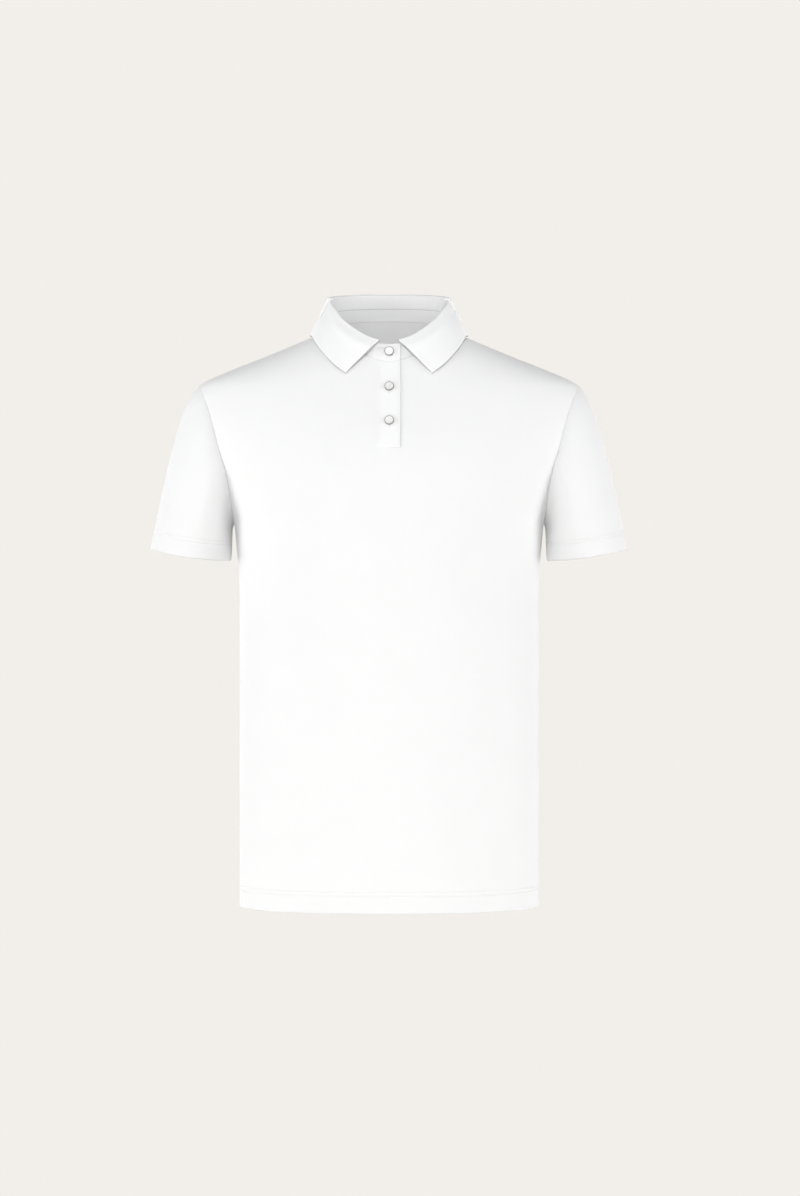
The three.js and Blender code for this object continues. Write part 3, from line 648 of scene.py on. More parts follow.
@dataclass
class Panel:
    """Front or back panel: rows across it from hem to neck, with a window for the placket in front."""

    name: str
    side: Side
    neck_cells: int = 30
    shoulder_cells: int = 30
    middle_cells: int = 8
    side_rows: int = 66
    armhole_rows: int = 54
    side_edge_step: float = 0.0042
    stitch_heights: tuple[float, float] = (25.4, 20.7)
    creases: list[Crease] = field(default_factory=list)

    def column_shares(self) -> Array:
        """Places of the columns, from 0 at the placket's edge to 1 at the side and armhole seam."""
        neck = np.linspace(0, NECK_SHARE, self.neck_cells + 1)
        shoulder = np.linspace(NECK_SHARE, 1, self.shoulder_cells + 1)[1:-1]
        edge = 1 - np.array(EDGE_STEPS)[::-1] * self.side_edge_step
        return np.concatenate([neck, shoulder, edge])

    def middle_places(self) -> Array:
        """Distances of the columns between the middle and the placket's edge."""
        return np.linspace(0, PLACKET_HALF_WIDTH, self.middle_cells // 2 + 1)[:-1]

    def lower_heights(self) -> Array:
        """Heights of the rows from the hem's fold to the armpit, close together at fold and stitches."""
        fold = HEM_HEIGHT + edge_steps(HEM_CLOTH)
        hem = HEM_HEIGHT + np.arange(2.2, 18.5, 1.8)
        lines = [HEM_HEIGHT + place + np.arange(-1.2, 1.21, 0.6) for place in self.stitch_heights]
        over = HEM_HEIGHT + np.array([27.6, 29.2, 31.5])
        rest = np.linspace(HEM_HEIGHT + 34, ARMPIT_HEIGHT, self.side_rows + 1)[:-1]
        return np.unique(np.round(np.concatenate([fold, hem, *lines, over, rest]), 3))

    def end_share(self) -> float:
        """Share of the way from the armpit to the neck at which the placket ends."""
        edge_height = float(BODY.neck_height(Side.FRONT, PLACKET_HALF_WIDTH))
        return (PLACKET_END_HEIGHT - ARMPIT_HEIGHT) / (edge_height - ARMPIT_HEIGHT)

    def upper_shares(self) -> Array:
        """Shares of the rows from the armpit up to the neck and shoulder seams."""
        fine = 1 - np.array([3e-3, 1e-3, 3e-4, 5e-5])
        return np.unique(np.concatenate([eased_steps(self.armhole_rows), [self.end_share()], fine]))

    def level_column(self, half_width: Array, share: Array) -> Array:
        """Distance of a column on a level row: even turns of an angle out to the side seam."""
        first = np.arcsin(PLACKET_HALF_WIDTH / half_width)
        return half_width * np.sin(first + (np.pi / 2 - first) * share)

    def places(self) -> tuple[Array, Array]:
        """Distance from the middle and height of every point of the right half, from middle to side seam.

        The upper rows blend straight between armpit level and the top edge, and shear out to the armhole.

        Returns:
            The distances and the heights, rows by columns.
        """
        shares, inner = self.column_shares(), self.middle_places()
        heights = self.lower_heights()[:, None]
        half_width = BODY_SECTIONS.at("half_width", heights)
        lower_x = np.hstack([np.broadcast_to(inner, (len(heights), len(inner))),
                             self.level_column(half_width, shares)])
        lower_z = np.broadcast_to(heights, lower_x.shape)

        tip = float(ARMHOLE_SEAM.at("half_width", SHOULDER_TIP_HEIGHT))
        armpit_width = float(ARMHOLE_SEAM.at("half_width", ARMPIT_HEIGHT))
        on_neck = shares <= NECK_SHARE
        first = math.asin(PLACKET_HALF_WIDTH / NECK_HALF_WIDTH)
        neck_x = NECK_HALF_WIDTH * np.sin(first + (np.pi / 2 - first) * shares[on_neck] / NECK_SHARE)
        shoulder_x = lerp(NECK_HALF_WIDTH, tip, (shares[~on_neck] - NECK_SHARE) / (1 - NECK_SHARE))
        top_x = np.concatenate([neck_x, shoulder_x])
        top_z = np.concatenate([BODY.neck_height(self.side, neck_x), BODY.shoulder_height(shoulder_x)])

        rows = self.upper_shares()[:, None]
        side_width = ARMHOLE_SEAM.at("half_width", lerp(ARMPIT_HEIGHT, SHOULDER_TIP_HEIGHT, rows))
        straight_width = lerp(armpit_width, tip, rows)
        bottom_x = self.level_column(np.array(armpit_width), shares)
        outer_x = lerp(bottom_x, top_x, rows) + shares * (side_width - straight_width)
        outer_z = lerp(ARMPIT_HEIGHT, top_z, rows)

        end, edge_z = self.end_share(), float(BODY.neck_height(self.side, PLACKET_HALF_WIDTH))
        end_z = lerp(ARMPIT_HEIGHT, edge_z, end)
        rest = (rows - end) / (1 - end)
        inner_z = np.where(rows <= end, lerp(ARMPIT_HEIGHT, edge_z, rows),
                           lerp(end_z, BODY.neck_height(self.side, inner), rest))
        inner_x = np.broadcast_to(inner, inner_z.shape)
        upper_x = np.hstack([inner_x, outer_x])
        upper_z = np.hstack([inner_z, outer_z])
        return np.vstack([lower_x, upper_x]), np.vstack([lower_z, upper_z])

    def relief(self, across: Array, height: Array) -> Array:
        """Small height of the cloth over its form: its creases, and the grooves under the hem's stitches."""
        level = height - HEM_HEIGHT
        relief = crease_relief(self.creases, across, height)
        relief = hem_grooves(relief, level, self.stitch_heights, across / 1.7, across / 4.3)
        roll = np.exp(-(((level - 11) / 9) ** 2))
        return relief + 0.18 * roll * np.sin(across / 9.1) * np.sin(across / 23.0 + 1.3)

    def wall(self) -> ClothWall:
        """The whole panel as a wall of cloth, its columns going to the right as seen from outside."""
        half_x, half_z = self.places()
        x = np.hstack([-half_x[:, :0:-1], half_x])
        z = np.hstack([half_z[:, :0:-1], half_z])
        grid = BODY.point(self.side, x, z)
        if self.side is Side.BACK:
            grid, x, z = grid[:, ::-1], x[:, ::-1], z[:, ::-1]
        normals = grid_normals(grid)
        lower = len(self.lower_heights())
        middle = (grid.shape[1] - 1) // 2
        for column in (0, -1):
            normals[:, column, 1] = 0
        beyond_neck = np.abs(np.arange(grid.shape[1]) - middle) > self.neck_cells + self.middle_cells // 2
        normals[-1, beyond_neck, 1] = 0
        normals = unit(normals)
        share = np.abs(np.arange(grid.shape[1]) - middle) / middle
        from_side = smooth_step((1 - share) / 0.1)
        rows = grid.shape[0]
        from_top = smooth_step((rows - 1 - np.arange(rows)) / 10)[:, None]
        grid = grid + normals * (self.relief(x, z) * from_side * from_top)[..., None]
        thickness = np.where(z - HEM_HEIGHT < self.stitch_heights[0], HEM_CLOTH, PANEL_CLOTH)
        keep = np.ones((rows - 1, grid.shape[1] - 1), bool)
        if self.side is Side.FRONT:
            window_start = lower + int(np.argmin(np.abs(self.upper_shares() - self.end_share())))
            cell = np.arange(grid.shape[1] - 1) + 0.5
            inside = np.abs(cell - middle) < self.middle_cells // 2
            keep[window_start:, inside] = False
        pinch = pinch_of(grid, (Edge.FOLD, Edge.OPEN), (Edge.SEAM, Edge.SEAM))
        return ClothWall(self.name, grid, normals, thickness, pinch, keep=keep)

    def hem_stitches(self) -> list[StitchRun]:
        """The two rows of stitches that hold the turned-up hem, from side seam to side seam."""
        turns = np.linspace(-0.497, 0.497, 500) * np.pi
        runs = []
        for place in self.stitch_heights:
            height = np.full(turns.shape, HEM_HEIGHT + place)
            across = BODY_SECTIONS.at("half_width", height) * np.sin(turns)
            normal = BODY.normal(self.side, across, height)
            sink = HEM_THREAD_SINK * smooth_step((0.5 * np.pi - np.abs(turns)) / 0.1)
            path = BODY.point(self.side, across, height) - normal * sink[:, None]
            runs.append(StitchRun(path, normal))
        return runs


@dataclass
class Sleeve:
    """A set-in sleeve: lines leave the armhole square to it and end on a tilted oval hem."""

    name: str
    hand: Hand
    ring_cells: int = 44
    rows: int = 54
    hem_centre: tuple[float, float, float] = (243.9, 0.0, -275.5)
    hem_half_width: float = 50.0
    hem_half_depth: float = 57.0
    hem_tilt: float = 8.6
    hem_sag: float = 3.6
    end_direction: tuple[float, float, float] = (0.225, 0.0, -0.974)
    stitch_places: tuple[float, float] = (22.5, 18.9)
    creases: list[Crease] = field(default_factory=list)

    def seam(self) -> tuple[Array, Array, Array]:
        """Turn, side and point of each line at the armhole seam, over the back and down the front."""
        turn = np.arange(self.ring_cells + 1) / self.ring_cells
        height = lerp(ARMPIT_HEIGHT, SHOULDER_TIP_HEIGHT, (1 - np.cos(np.pi * turn)) / 2)
        across = ARMHOLE_SEAM.at("half_width", height)
        back, front = BODY.point(Side.BACK, across, height), BODY.point(Side.FRONT, across, height)
        back[[0, -1], 1] = 0
        turns = np.concatenate([turn, turn[-2:0:-1]])
        sides = np.concatenate([np.ones(len(turn)), -np.ones(len(turn) - 2)])
        return turns, sides, np.concatenate([back, front[-2:0:-1]])

    def lines(self) -> tuple[Array, Array]:
        """Points of all lines and their starting directions, for the viewer's right sleeve.

        Each line is a cubic curve: it leaves the seam in its own direction and meets the hem along the
        sleeve, and its points lie at even lengths down to the hem's turn-up, then at set ones.

        Returns:
            Points, rows by lines, and one direction for each line.
        """
        turns, sides, seam = self.seam()
        start = unit(stack(SLEEVE_SET.at("outward", turns), sides * SLEEVE_SET.at("forward", turns),
                           -SLEEVE_SET.at("down", turns)))
        angle, tilt = np.pi * (1 - turns), math.radians(self.hem_tilt)
        reach = self.hem_half_width * np.cos(angle)
        end = np.array(self.hem_centre) + stack(
            reach * math.cos(tilt),
            sides * self.hem_half_depth * np.sin(angle),
            reach * math.sin(tilt) - self.hem_sag * np.sin(angle) ** 2,
        )
        origin = seam + start * SEAM_CLOSE
        second = origin + start * SLEEVE_SET.at("start", turns)[:, None] / 3
        third = end - unit(np.array(self.end_direction)) * SLEEVE_SET.at("end", turns)[:, None] / 3
        t = np.linspace(0, 1, 300)[:, None, None]
        u = 1 - t
        curve = u**3 * origin + 3 * u * u * t * second + 3 * u * t * t * third + t**3 * end
        run = path_lengths(np.swapaxes(curve, 0, 1))
        wanted = self.row_lengths(run[:, -1])
        points = np.stack([
            along_path(wanted[:, line], run[line], curve[:, line])
            for line in range(len(turns))
        ], axis=1)
        return points, start

    def row_lengths(self, total: Array) -> Array:
        """Length down each line at which the rows lie: close at the seam, the stitches and the fold."""
        seam = edge_steps(PANEL_CLOTH)
        above = self.stitch_places[0] + 6.0
        even = np.linspace(0, 1, self.rows + 1)[1:, None]
        body = seam[-1] + (total - above - seam[-1]) * even
        lines = [place - np.arange(-1.2, 1.21, 0.6) for place in self.stitch_places]
        hem = np.arange(16.0, 2.0, -1.9)
        fold = edge_steps(HEM_CLOTH)[::-1]
        back = np.unique(np.round(np.concatenate([*lines, hem, fold, [26.5, 24.8]]), 3))[::-1]
        return np.vstack([seam[:, None] + 0 * total, body, total - back[:, None]])

    def surface(self) -> tuple[Array, Array, Array]:
        """Points of all lines, their normals and the length run down each line."""
        points, start = self.lines()
        run = path_lengths(np.swapaxes(points, 0, 1)).T
        return points, grid_normals(points, closed=True, first_steps=start), run

    def wall(self) -> ClothWall:
        """The sleeve as a tube of cloth, mirrored and turned round for the viewer's left."""
        points, normals, run = self.surface()
        from_hem = run[-1] - run
        around = np.broadcast_to(np.arange(points.shape[1]) / points.shape[1], run.shape)
        relief = crease_relief(self.creases, around * 400, from_hem)
        relief = hem_grooves(relief, from_hem, self.stitch_places, around * 223, around * 89)
        from_seam = smooth_step(run / 14)
        points = points + normals * (relief * from_seam)[..., None]
        if self.hand is Hand.LEFT:
            points, from_hem = mirrored(points)[:, ::-1], from_hem[:, ::-1]
            normals = mirrored(normals)[:, ::-1]
        thickness = np.where(from_hem < self.stitch_places[0], HEM_CLOTH, PANEL_CLOTH)
        pinch = pinch_of(points, (Edge.SEAM, Edge.FOLD), (Edge.OPEN, Edge.OPEN))
        return ClothWall(self.name, points, normals, thickness, pinch, closed=True)

    def hem_stitches(self) -> list[StitchRun]:
        """The two rows of stitches round the turned-up hem."""
        points, normals, run = self.surface()
        from_hem = run[-1] - run
        runs = []
        for place in self.stitch_places:
            row = int(np.argmin(np.abs(from_hem[:, 0] - place)))
            path = points[row] - normals[row] * HEM_THREAD_SINK
            normal = normals[row]
            if self.hand is Hand.LEFT:
                path, normal = mirrored(path)[::-1], mirrored(normal)[::-1]
            runs.append(StitchRun(np.vstack([path, path[:1]]), np.vstack([normal, normal[:1]])))
        return runs


@dataclass
class NeckRing:
    """Places round the neck seam, each with its turn, its point on the seam and its outward direction."""

    turn: Array
    point: Array
    outward: Array

    def mirror(self) -> "NeckRing":
        """The same places on the viewer's left, in the opposite order."""
        return NeckRing(self.turn[::-1], mirrored(self.point)[::-1], mirrored(self.outward)[::-1])

    def cut(self, part: slice) -> "NeckRing":
        """Some of the places."""
        return NeckRing(self.turn[part], self.point[part], self.outward[part])

    def frames(self) -> tuple[Array, Array]:
        """Directions up along the collar and square to it, tilted to the neck by the lean."""
        lean = COLLAR_SECTIONS.at("lean", self.turn)[:, None]
        up = np.array([0.0, 0.0, 1.0])
        return unit(up - self.outward * lean), unit(self.outward + up * lean)

    @staticmethod
    def joined(*parts: "NeckRing") -> "NeckRing":
        """Several runs of places as one."""
        return NeckRing(
            np.concatenate([part.turn for part in parts]),
            np.concatenate([part.point for part in parts]),
            np.concatenate([part.outward for part in parts]),
        )

    @staticmethod
    def half(middle: Array, cells: int) -> "NeckRing":
        """Places from the middle front over the viewer's right shoulder to the middle back.

        Args:
            middle: distances of the first places in front, from the middle to where the leaf starts.
            cells: number of places from there to the shoulder.
        Returns:
            The places.
        """
        first = math.asin(LEAF_START / NECK_HALF_WIDTH)
        rest = NECK_HALF_WIDTH * np.sin(np.linspace(first, np.pi / 2, cells + 1))[1:-1]
        front_x = np.concatenate([middle, rest])
        back_x = np.concatenate([np.linspace(0, LEAF_START, 8), rest])[::-1]
        front = BODY.point(Side.FRONT, front_x, BODY.neck_height(Side.FRONT, front_x))
        back = BODY.point(Side.BACK, back_x, BODY.neck_height(Side.BACK, back_x))
        point = np.concatenate([front, [[NECK_HALF_WIDTH, 0, 0]], back])
        quarter = np.arcsin(np.concatenate([front_x, [NECK_HALF_WIDTH], back_x]) / NECK_HALF_WIDTH) / np.pi
        turn = np.where(np.arange(len(point)) <= len(front_x), quarter, 1 - quarter)
        along = point[np.minimum(np.arange(len(point)) + 1, len(point) - 1)]
        along = along - point[np.maximum(np.arange(len(point)) - 1, 0)]
        along[:, 2] = 0
        along[[0, -1], 1] = 0
        return NeckRing(turn, point, unit(np.cross(along, np.array([0.0, 0.0, 1.0]))))


def lap_lift(is_upper: bool, across: Array, press: float = 0.6) -> Array:
    """Outward lift of a lap at the front opening: none at its seam, the whole step near its free end.

    Args:
        is_upper: whether it is the lap on top.
        across: distance from the middle.
        press: how much closer the pressed free end lies to the other lap.
    Returns:
        The lift, outwards for the upper lap and inwards for the under lap.
    """
    sign = 1 if is_upper else -1
    from_seam = PLACKET_HALF_WIDTH + sign * across
    pressed = press * smooth_step((from_seam - 22) / 5.2)
    return sign * (LAP_STEP * from_seam / (2 * PLACKET_HALF_WIDTH) - pressed)


def lap_point(is_upper: bool, across: Array, height: Array) -> Array:
    """Point of a lap: the front's point, moved level to the front by its lift."""
    point = BODY.point(Side.FRONT, across, height)
    point[..., 1] -= lap_lift(is_upper, across)
    return point


def lap_normal(is_upper: bool, across: Array, height: Array) -> Array:
    """Outward direction of a lap."""
    return square_to(lambda x, z: lap_point(is_upper, x, z), across, height)


@dataclass
class CollarStand:
    """The band round the neck: it starts as the under lap, goes round and ends as the upper lap."""

    name: str = "collar_stand"
    cells: int = 44
    rows: int = 12
    corner_radius: float = 7.0
    press: float = 0.2
    stitch_inset: float = 1.6
    buttonhole: tuple[float, float, float] = (-13.2, -3.6, -26.0)

    def columns(self) -> tuple[NeckRing, Array]:
        """All columns from the under lap's end to the upper lap's, with the lift of each."""
        half = NeckRing.half(np.linspace(0, LEAF_START, 7), self.cells)
        edge = edge_steps(COLLAR_CLOTH)
        under_end = -PLACKET_HALF_WIDTH + SEAM_GAP
        under = self.lap(np.concatenate([under_end + edge, np.linspace(under_end + 2, -0.9, 8)]))
        upper = self.lap(np.concatenate([np.linspace(0.9, STAND_LAP_END - 2, 8), STAND_LAP_END - edge[::-1]]))
        ring = NeckRing.joined(under, half, half.cut(slice(0, -1)).mirror(), upper)
        count = len(ring.turn)
        is_upper = np.arange(count) > count // 2
        across = ring.point[:, 0]
        near = (ring.point[:, 1] < 0) & (np.abs(across) < STAND_LAP_END + SEAM_GAP)
        above = np.maximum(0, lap_lift(True, across, self.press))
        below = np.minimum(0, lap_lift(False, across, self.press))
        return ring, np.where(near, np.where(is_upper, above, below), 0.0)

    def lap(self, across: Array) -> NeckRing:
        """Places on the neck seam past the middle front, facing level out."""
        height = BODY.neck_height(Side.FRONT, across)
        outward = BODY.normal(Side.FRONT, across, height)
        outward[:, 2] = 0
        return NeckRing(np.zeros(len(across)), BODY.point(Side.FRONT, across, height), unit(outward))

    def wall(self) -> ClothWall:
        """The stand as a wall: seam point + outward * lift + rise * share of its height.

        Near the two free ends the height falls off as a quarter circle, so the top corners are round.
        """
        ring, lift = self.columns()
        rise, outward = ring.frames()
        tall = COLLAR_SECTIONS.at("stand", ring.turn)
        run = path_lengths(ring.point)
        from_end = np.minimum(run, run[-1] - run)
        short = np.clip(1 - from_end / self.corner_radius, 0, 1)
        tall = tall - self.corner_radius * 0.55 * (1 - np.sqrt(1 - short**2))
        edge = edge_steps(COLLAR_CLOTH)
        shares = np.linspace(0, 1, self.rows + 1)[1:-1, None]
        body = edge[-1] + (tall - SEAM_CLOSE - 2 * edge[-1]) * shares
        level = np.vstack([edge[:, None] + 0 * tall, body, (tall - SEAM_CLOSE) - edge[::-1][:, None]])
        base = ring.point + ring.outward * lift[:, None]
        grid = base + rise * (SEAM_CLOSE + level)[..., None]
        normals = np.broadcast_to(outward, grid.shape).copy()
        pinch = pinch_of(grid, (Edge.NECK, Edge.NECK), (Edge.FOLD, Edge.FOLD))
        return ClothWall(self.name, grid, normals, COLLAR_CLOTH, pinch)

    def stitches(self) -> list[StitchRun]:
        """Stitches along the lower edge all round, on the outer side."""
        ring, lift = self.columns()
        rise, outward = ring.frames()
        path = ring.point + ring.outward * lift[:, None] + rise * (SEAM_GAP + self.stitch_inset)
        return [StitchRun(path[2:-2], outward[2:-2])]

    def on_upper_lap(self, across: Array, height: Array) -> Array:
        """Point of the upper lap at a distance and height: up its leaning front from the neck seam."""
        seam = lap_point(True, across, BODY.neck_height(Side.FRONT, across))
        lean = float(COLLAR_SECTIONS.at("lean", 0.0))
        rise = unit(np.array([0.0, lean, 1.0]))
        return seam + rise * ((height - seam[..., 2]) / rise[2])[..., None]

    def buttonhole_stitches(self) -> list[StitchRun]:
        """The level buttonhole on the upper lap, which shows beside the top button."""
        start, end, height = self.buttonhole
        return buttonhole_runs(self.on_upper_lap, (start, height), (end, height))


def buttonhole_runs(surface: Surface, start: tuple[float, float],
                    end: tuple[float, float]) -> list[StitchRun]:
    """Close stitches all round a slit: a long ring just off the line from start to end.

    Args:
        surface: point of the cloth at a distance and a height.
        start: one end of the slit.
        end: its other end.
    Returns:
        One closed row of crossways stitches.
    """
    off, cells, steps = 0.95, 14, 160
    start, end = np.array(start, float), np.array(end, float)
    direction = (end - start) / np.linalg.norm(end - start)
    aside = np.array([-direction[1], direction[0]])
    turns = np.linspace(-np.pi / 2, np.pi / 2, cells)[:, None]
    far = end + off * (np.cos(turns) * direction + np.sin(turns) * aside)
    near = start - off * (np.cos(turns) * direction + np.sin(turns) * aside)
    ring = np.concatenate([far, near, far[:1]])
    run = path_lengths(ring)
    even = np.linspace(0, run[-1], steps)
    x, z = np.interp(even, run, ring[:, 0]), np.interp(even, run, ring[:, 1])
    form = StitchForm(length=1.5, pitch=0.42, radius=0.2, rise=0.14, lie=0.04)
    return [StitchRun(surface(x, z), square_to(surface, x, z), form, crossways=True)]


@dataclass
class CollarLeaf:
    """The turned-down collar: each line rises from the stand, turns over the fold and falls to the edge."""

    name: str = "collar_leaf"
    cells: int = 56
    fold_cells: int = 12
    fall_cells: int = 26
    rise_cells: int = 8
    fold_radius: float = 1.9
    lift: float = 1.4
    fall_length: float = 40.0
    hollow_turn: float = 0.22
    hollow_blend: float = 0.18
    crest_share: float = 0.3
    crest_bulge: float = 0.03
    swell: tuple[float, float, float] = (1.9, 0.3, 0.16)
    hollow: tuple[float, float, float] = (-1.1, 0.36, 0.18)
    back_side: float = 96.9
    back_depth: float = 67.5
    back_shoulder_height: float = -6.6
    back_middle_height: float = 7.0

    def outer_edge(self, turn: Array, start_turn: float) -> Array:
        """Outer edge of the leaf: a table over the front cloth, a level oval that rises behind."""
        share = np.clip((turn - start_turn) / (0.5 - start_turn), 0, 1)
        across = LEAF_FRONT_EDGE.at("side", share)
        depth = np.maximum(SEAM_GAP, LEAF_FRONT_EDGE.at("depth", share))
        height = BODY.height_at_depth(Side.FRONT, across, depth)
        lift = self.lift + COLLAR_CLOTH / 2
        front = BODY.point(Side.FRONT, across, height)
        front = front + BODY.normal(Side.FRONT, across, height - SEAM_GAP) * lift
        front[share >= 1, 1] = 0
        angle = np.pi * (turn - 0.5)
        back = stack(
            self.back_side * np.cos(angle),
            self.back_depth * np.sin(angle),
            lerp(self.back_shoulder_height, self.back_middle_height, np.sin(angle) ** 2),
        )
        return np.where((turn <= 0.5)[:, None], front, back)

    def ring(self) -> NeckRing:
        """Places round the neck from one front end of the leaf to the other."""
        first = LEAF_START + edge_steps(COLLAR_CLOTH)
        half = NeckRing.half(np.concatenate([[0.0], first]), self.cells).cut(slice(1, None))
        return NeckRing.joined(half, half.cut(slice(0, -1)).mirror())

    def relief(self, fall: float, turn: Array) -> Array:
        """Height over the plain fall: a swell under the fold in front, a hollow at the shoulder.

        Both are bell curves down the fall, depth * exp(-((fall - place) / width)^2).
        """
        swell, hollow = (
            depth * math.exp(-(((fall - place) / width) ** 2))
            for depth, place, width in (self.swell, self.hollow)
        )
        return lerp(swell, hollow, smooth_step((turn - self.hollow_turn) / self.hollow_blend))[:, None]

    def middle_lines(self) -> Array:
        """Middle of the cloth: straight up, half a turn of the fold radius, and a bowed fall.

        The fall is a quadratic curve from the fold's end to the outer edge, whose handle lies a share of
        the way along and bulges out and up by a share of its length.

        Returns:
            Points, rows down each line by columns round the neck.
        """
        ring = self.ring()
        rise, outward = ring.frames()
        stand = COLLAR_SECTIONS.at("stand", ring.turn)[:, None]
        fold = COLLAR_SECTIONS.at("fold", ring.turn)[:, None]
        middle = ring.point - outward * COLLAR_CLOTH / 2
        centre = middle + rise * (fold - self.fold_radius) + outward * self.fold_radius
        bottom = middle + rise * (stand + SEAM_CLOSE)
        fold_start = centre - outward * self.fold_radius
        steps = edge_steps(COLLAR_CLOTH)
        direction = fold_start - bottom
        length = np.linalg.norm(direction, axis=-1, keepdims=True)
        first = [bottom + direction / length * np.minimum(step, length * 0.5) for step in steps[:-1]]
        shares = np.linspace(0, 1, self.rise_cells + 1)[1:-1]
        climb = [bottom + direction * share for share in shares]
        angles = np.linspace(0, np.pi, self.fold_cells + 1)
        turn = [
            centre - outward * self.fold_radius * math.cos(angle) + rise * self.fold_radius * math.sin(angle)
            for angle in angles
        ]
        fold_end = turn[-1]
        edge = self.outer_edge(ring.turn, float(ring.turn[0]))
        edge[:, 0] = np.abs(edge[:, 0]) * np.where(ring.point[:, 0] < 0, -1, 1)
        reach = np.linalg.norm(edge - fold_end, axis=-1, keepdims=True)
        crest = lerp(fold_end, edge, self.crest_share) + (rise + outward) * self.crest_bulge * reach
        ends = 1 - edge_steps(COLLAR_CLOTH)[::-1] / self.fall_length
        even = np.linspace(0, 1, self.fall_cells + 1)[1:-1]
        fall = [
            (1 - t) ** 2 * fold_end + 2 * t * (1 - t) * crest + t * t * edge
            + outward * self.relief(t, ring.turn)
            for t in np.concatenate([even, ends])
        ]
        return np.stack(first + climb + turn + fall)

    def wall(self) -> ClothWall:
        """The leaf as a wall, its middle lines given thickness to both sides."""
        middle = self.middle_lines()
        normals = grid_normals(middle)
        grid = middle + normals * COLLAR_CLOTH / 2
        pinch = pinch_of(grid, (Edge.NECK, Edge.FOLD), (Edge.FOLD, Edge.FOLD))
        return ClothWall(self.name, grid, normals, COLLAR_CLOTH, pinch)


@dataclass
class PlacketStrip:
    """One of the two strips at the front opening, a double band lifted as a lap."""

    name: str
    is_upper: bool
    rows: int = 70
    columns: int = 18
    end_gap: float = 0.06
    stitch_inset: float = 2.2
    end_stitch_height: float = -142.3
    tack: tuple[float, float, float] = (-3.7, 9.8, -153.3)

    def side_edges(self) -> tuple[float, float]:
        """Distances of the strip's left and right edges from the middle."""
        wide = PLACKET_HALF_WIDTH + PLACKET_EDGE_OVERHANG
        narrow = PLACKET_HALF_WIDTH - SEAM_CLOSE
        return (-narrow, wide) if self.is_upper else (-wide, narrow)

    def wall(self) -> ClothWall:
        """The strip as a wall: the lap's points between its edges, from its lower end to the neck seam."""
        left, right = self.side_edges()
        edge = edge_steps(PLACKET_CLOTH)
        inner = np.linspace(left + edge[-1], right - edge[-1], self.columns + 1)[1:-1]
        across = np.concatenate([left + edge, inner, right - edge[::-1]])
        bottom = PLACKET_END_HEIGHT + self.end_gap
        top = BODY.neck_height(Side.FRONT, across)
        share = np.linspace(0, 1, self.rows + 1)[1:-1, None]
        body = bottom + edge[-1] + (top - bottom - 2 * edge[-1]) * share
        height = np.vstack([bottom + edge[:, None] + 0 * top, body, top - edge[::-1][:, None]])
        across = np.broadcast_to(across, height.shape)
        grid = lap_point(self.is_upper, across, height)
        normals = lap_normal(self.is_upper, across, height)
        ends = (Edge.OPEN, Edge.FOLD) if self.is_upper else (Edge.FOLD, Edge.OPEN)
        pinch = pinch_of(grid, (Edge.SEAM, Edge.SEAM), ends)
        return ClothWall(self.name, grid, normals, PLACKET_CLOTH, pinch)

    def surface(self, across: Array, height: Array) -> Array:
        """Point of the strip's outer side."""
        return lap_point(self.is_upper, across, height)

    def run(self, across: Array, height: Array) -> StitchRun:
        """A row of stitches through places on the strip."""
        normal = lap_normal(self.is_upper, across, height)
        return StitchRun(lap_point(self.is_upper, across, height) - normal * THREAD_SINK, normal)

    def stitches(self) -> list[StitchRun]:
        """Rows along both long edges and the stitched box at the lower end."""
        left, right = self.side_edges()
        low = self.end_stitch_height
        runs = []
        for across in (left + self.stitch_inset, right - self.stitch_inset):
            top = float(BODY.neck_height(Side.FRONT, across)) - 1.5
            height = np.linspace(low, top, 60)
            runs.append(self.run(np.full(height.shape, across), height))
        across = np.linspace(left + self.stitch_inset, right - self.stitch_inset, 20)
        runs.append(self.run(across, np.full(across.shape, low)))
        start, end, height = self.tack
        across, height = np.linspace(start, end, 40), np.full(40, height)
        normal = BODY.normal(Side.FRONT, across, height)
        runs.append(StitchRun(BODY.point(Side.FRONT, across, height) - normal * THREAD_SINK, normal))
        return runs


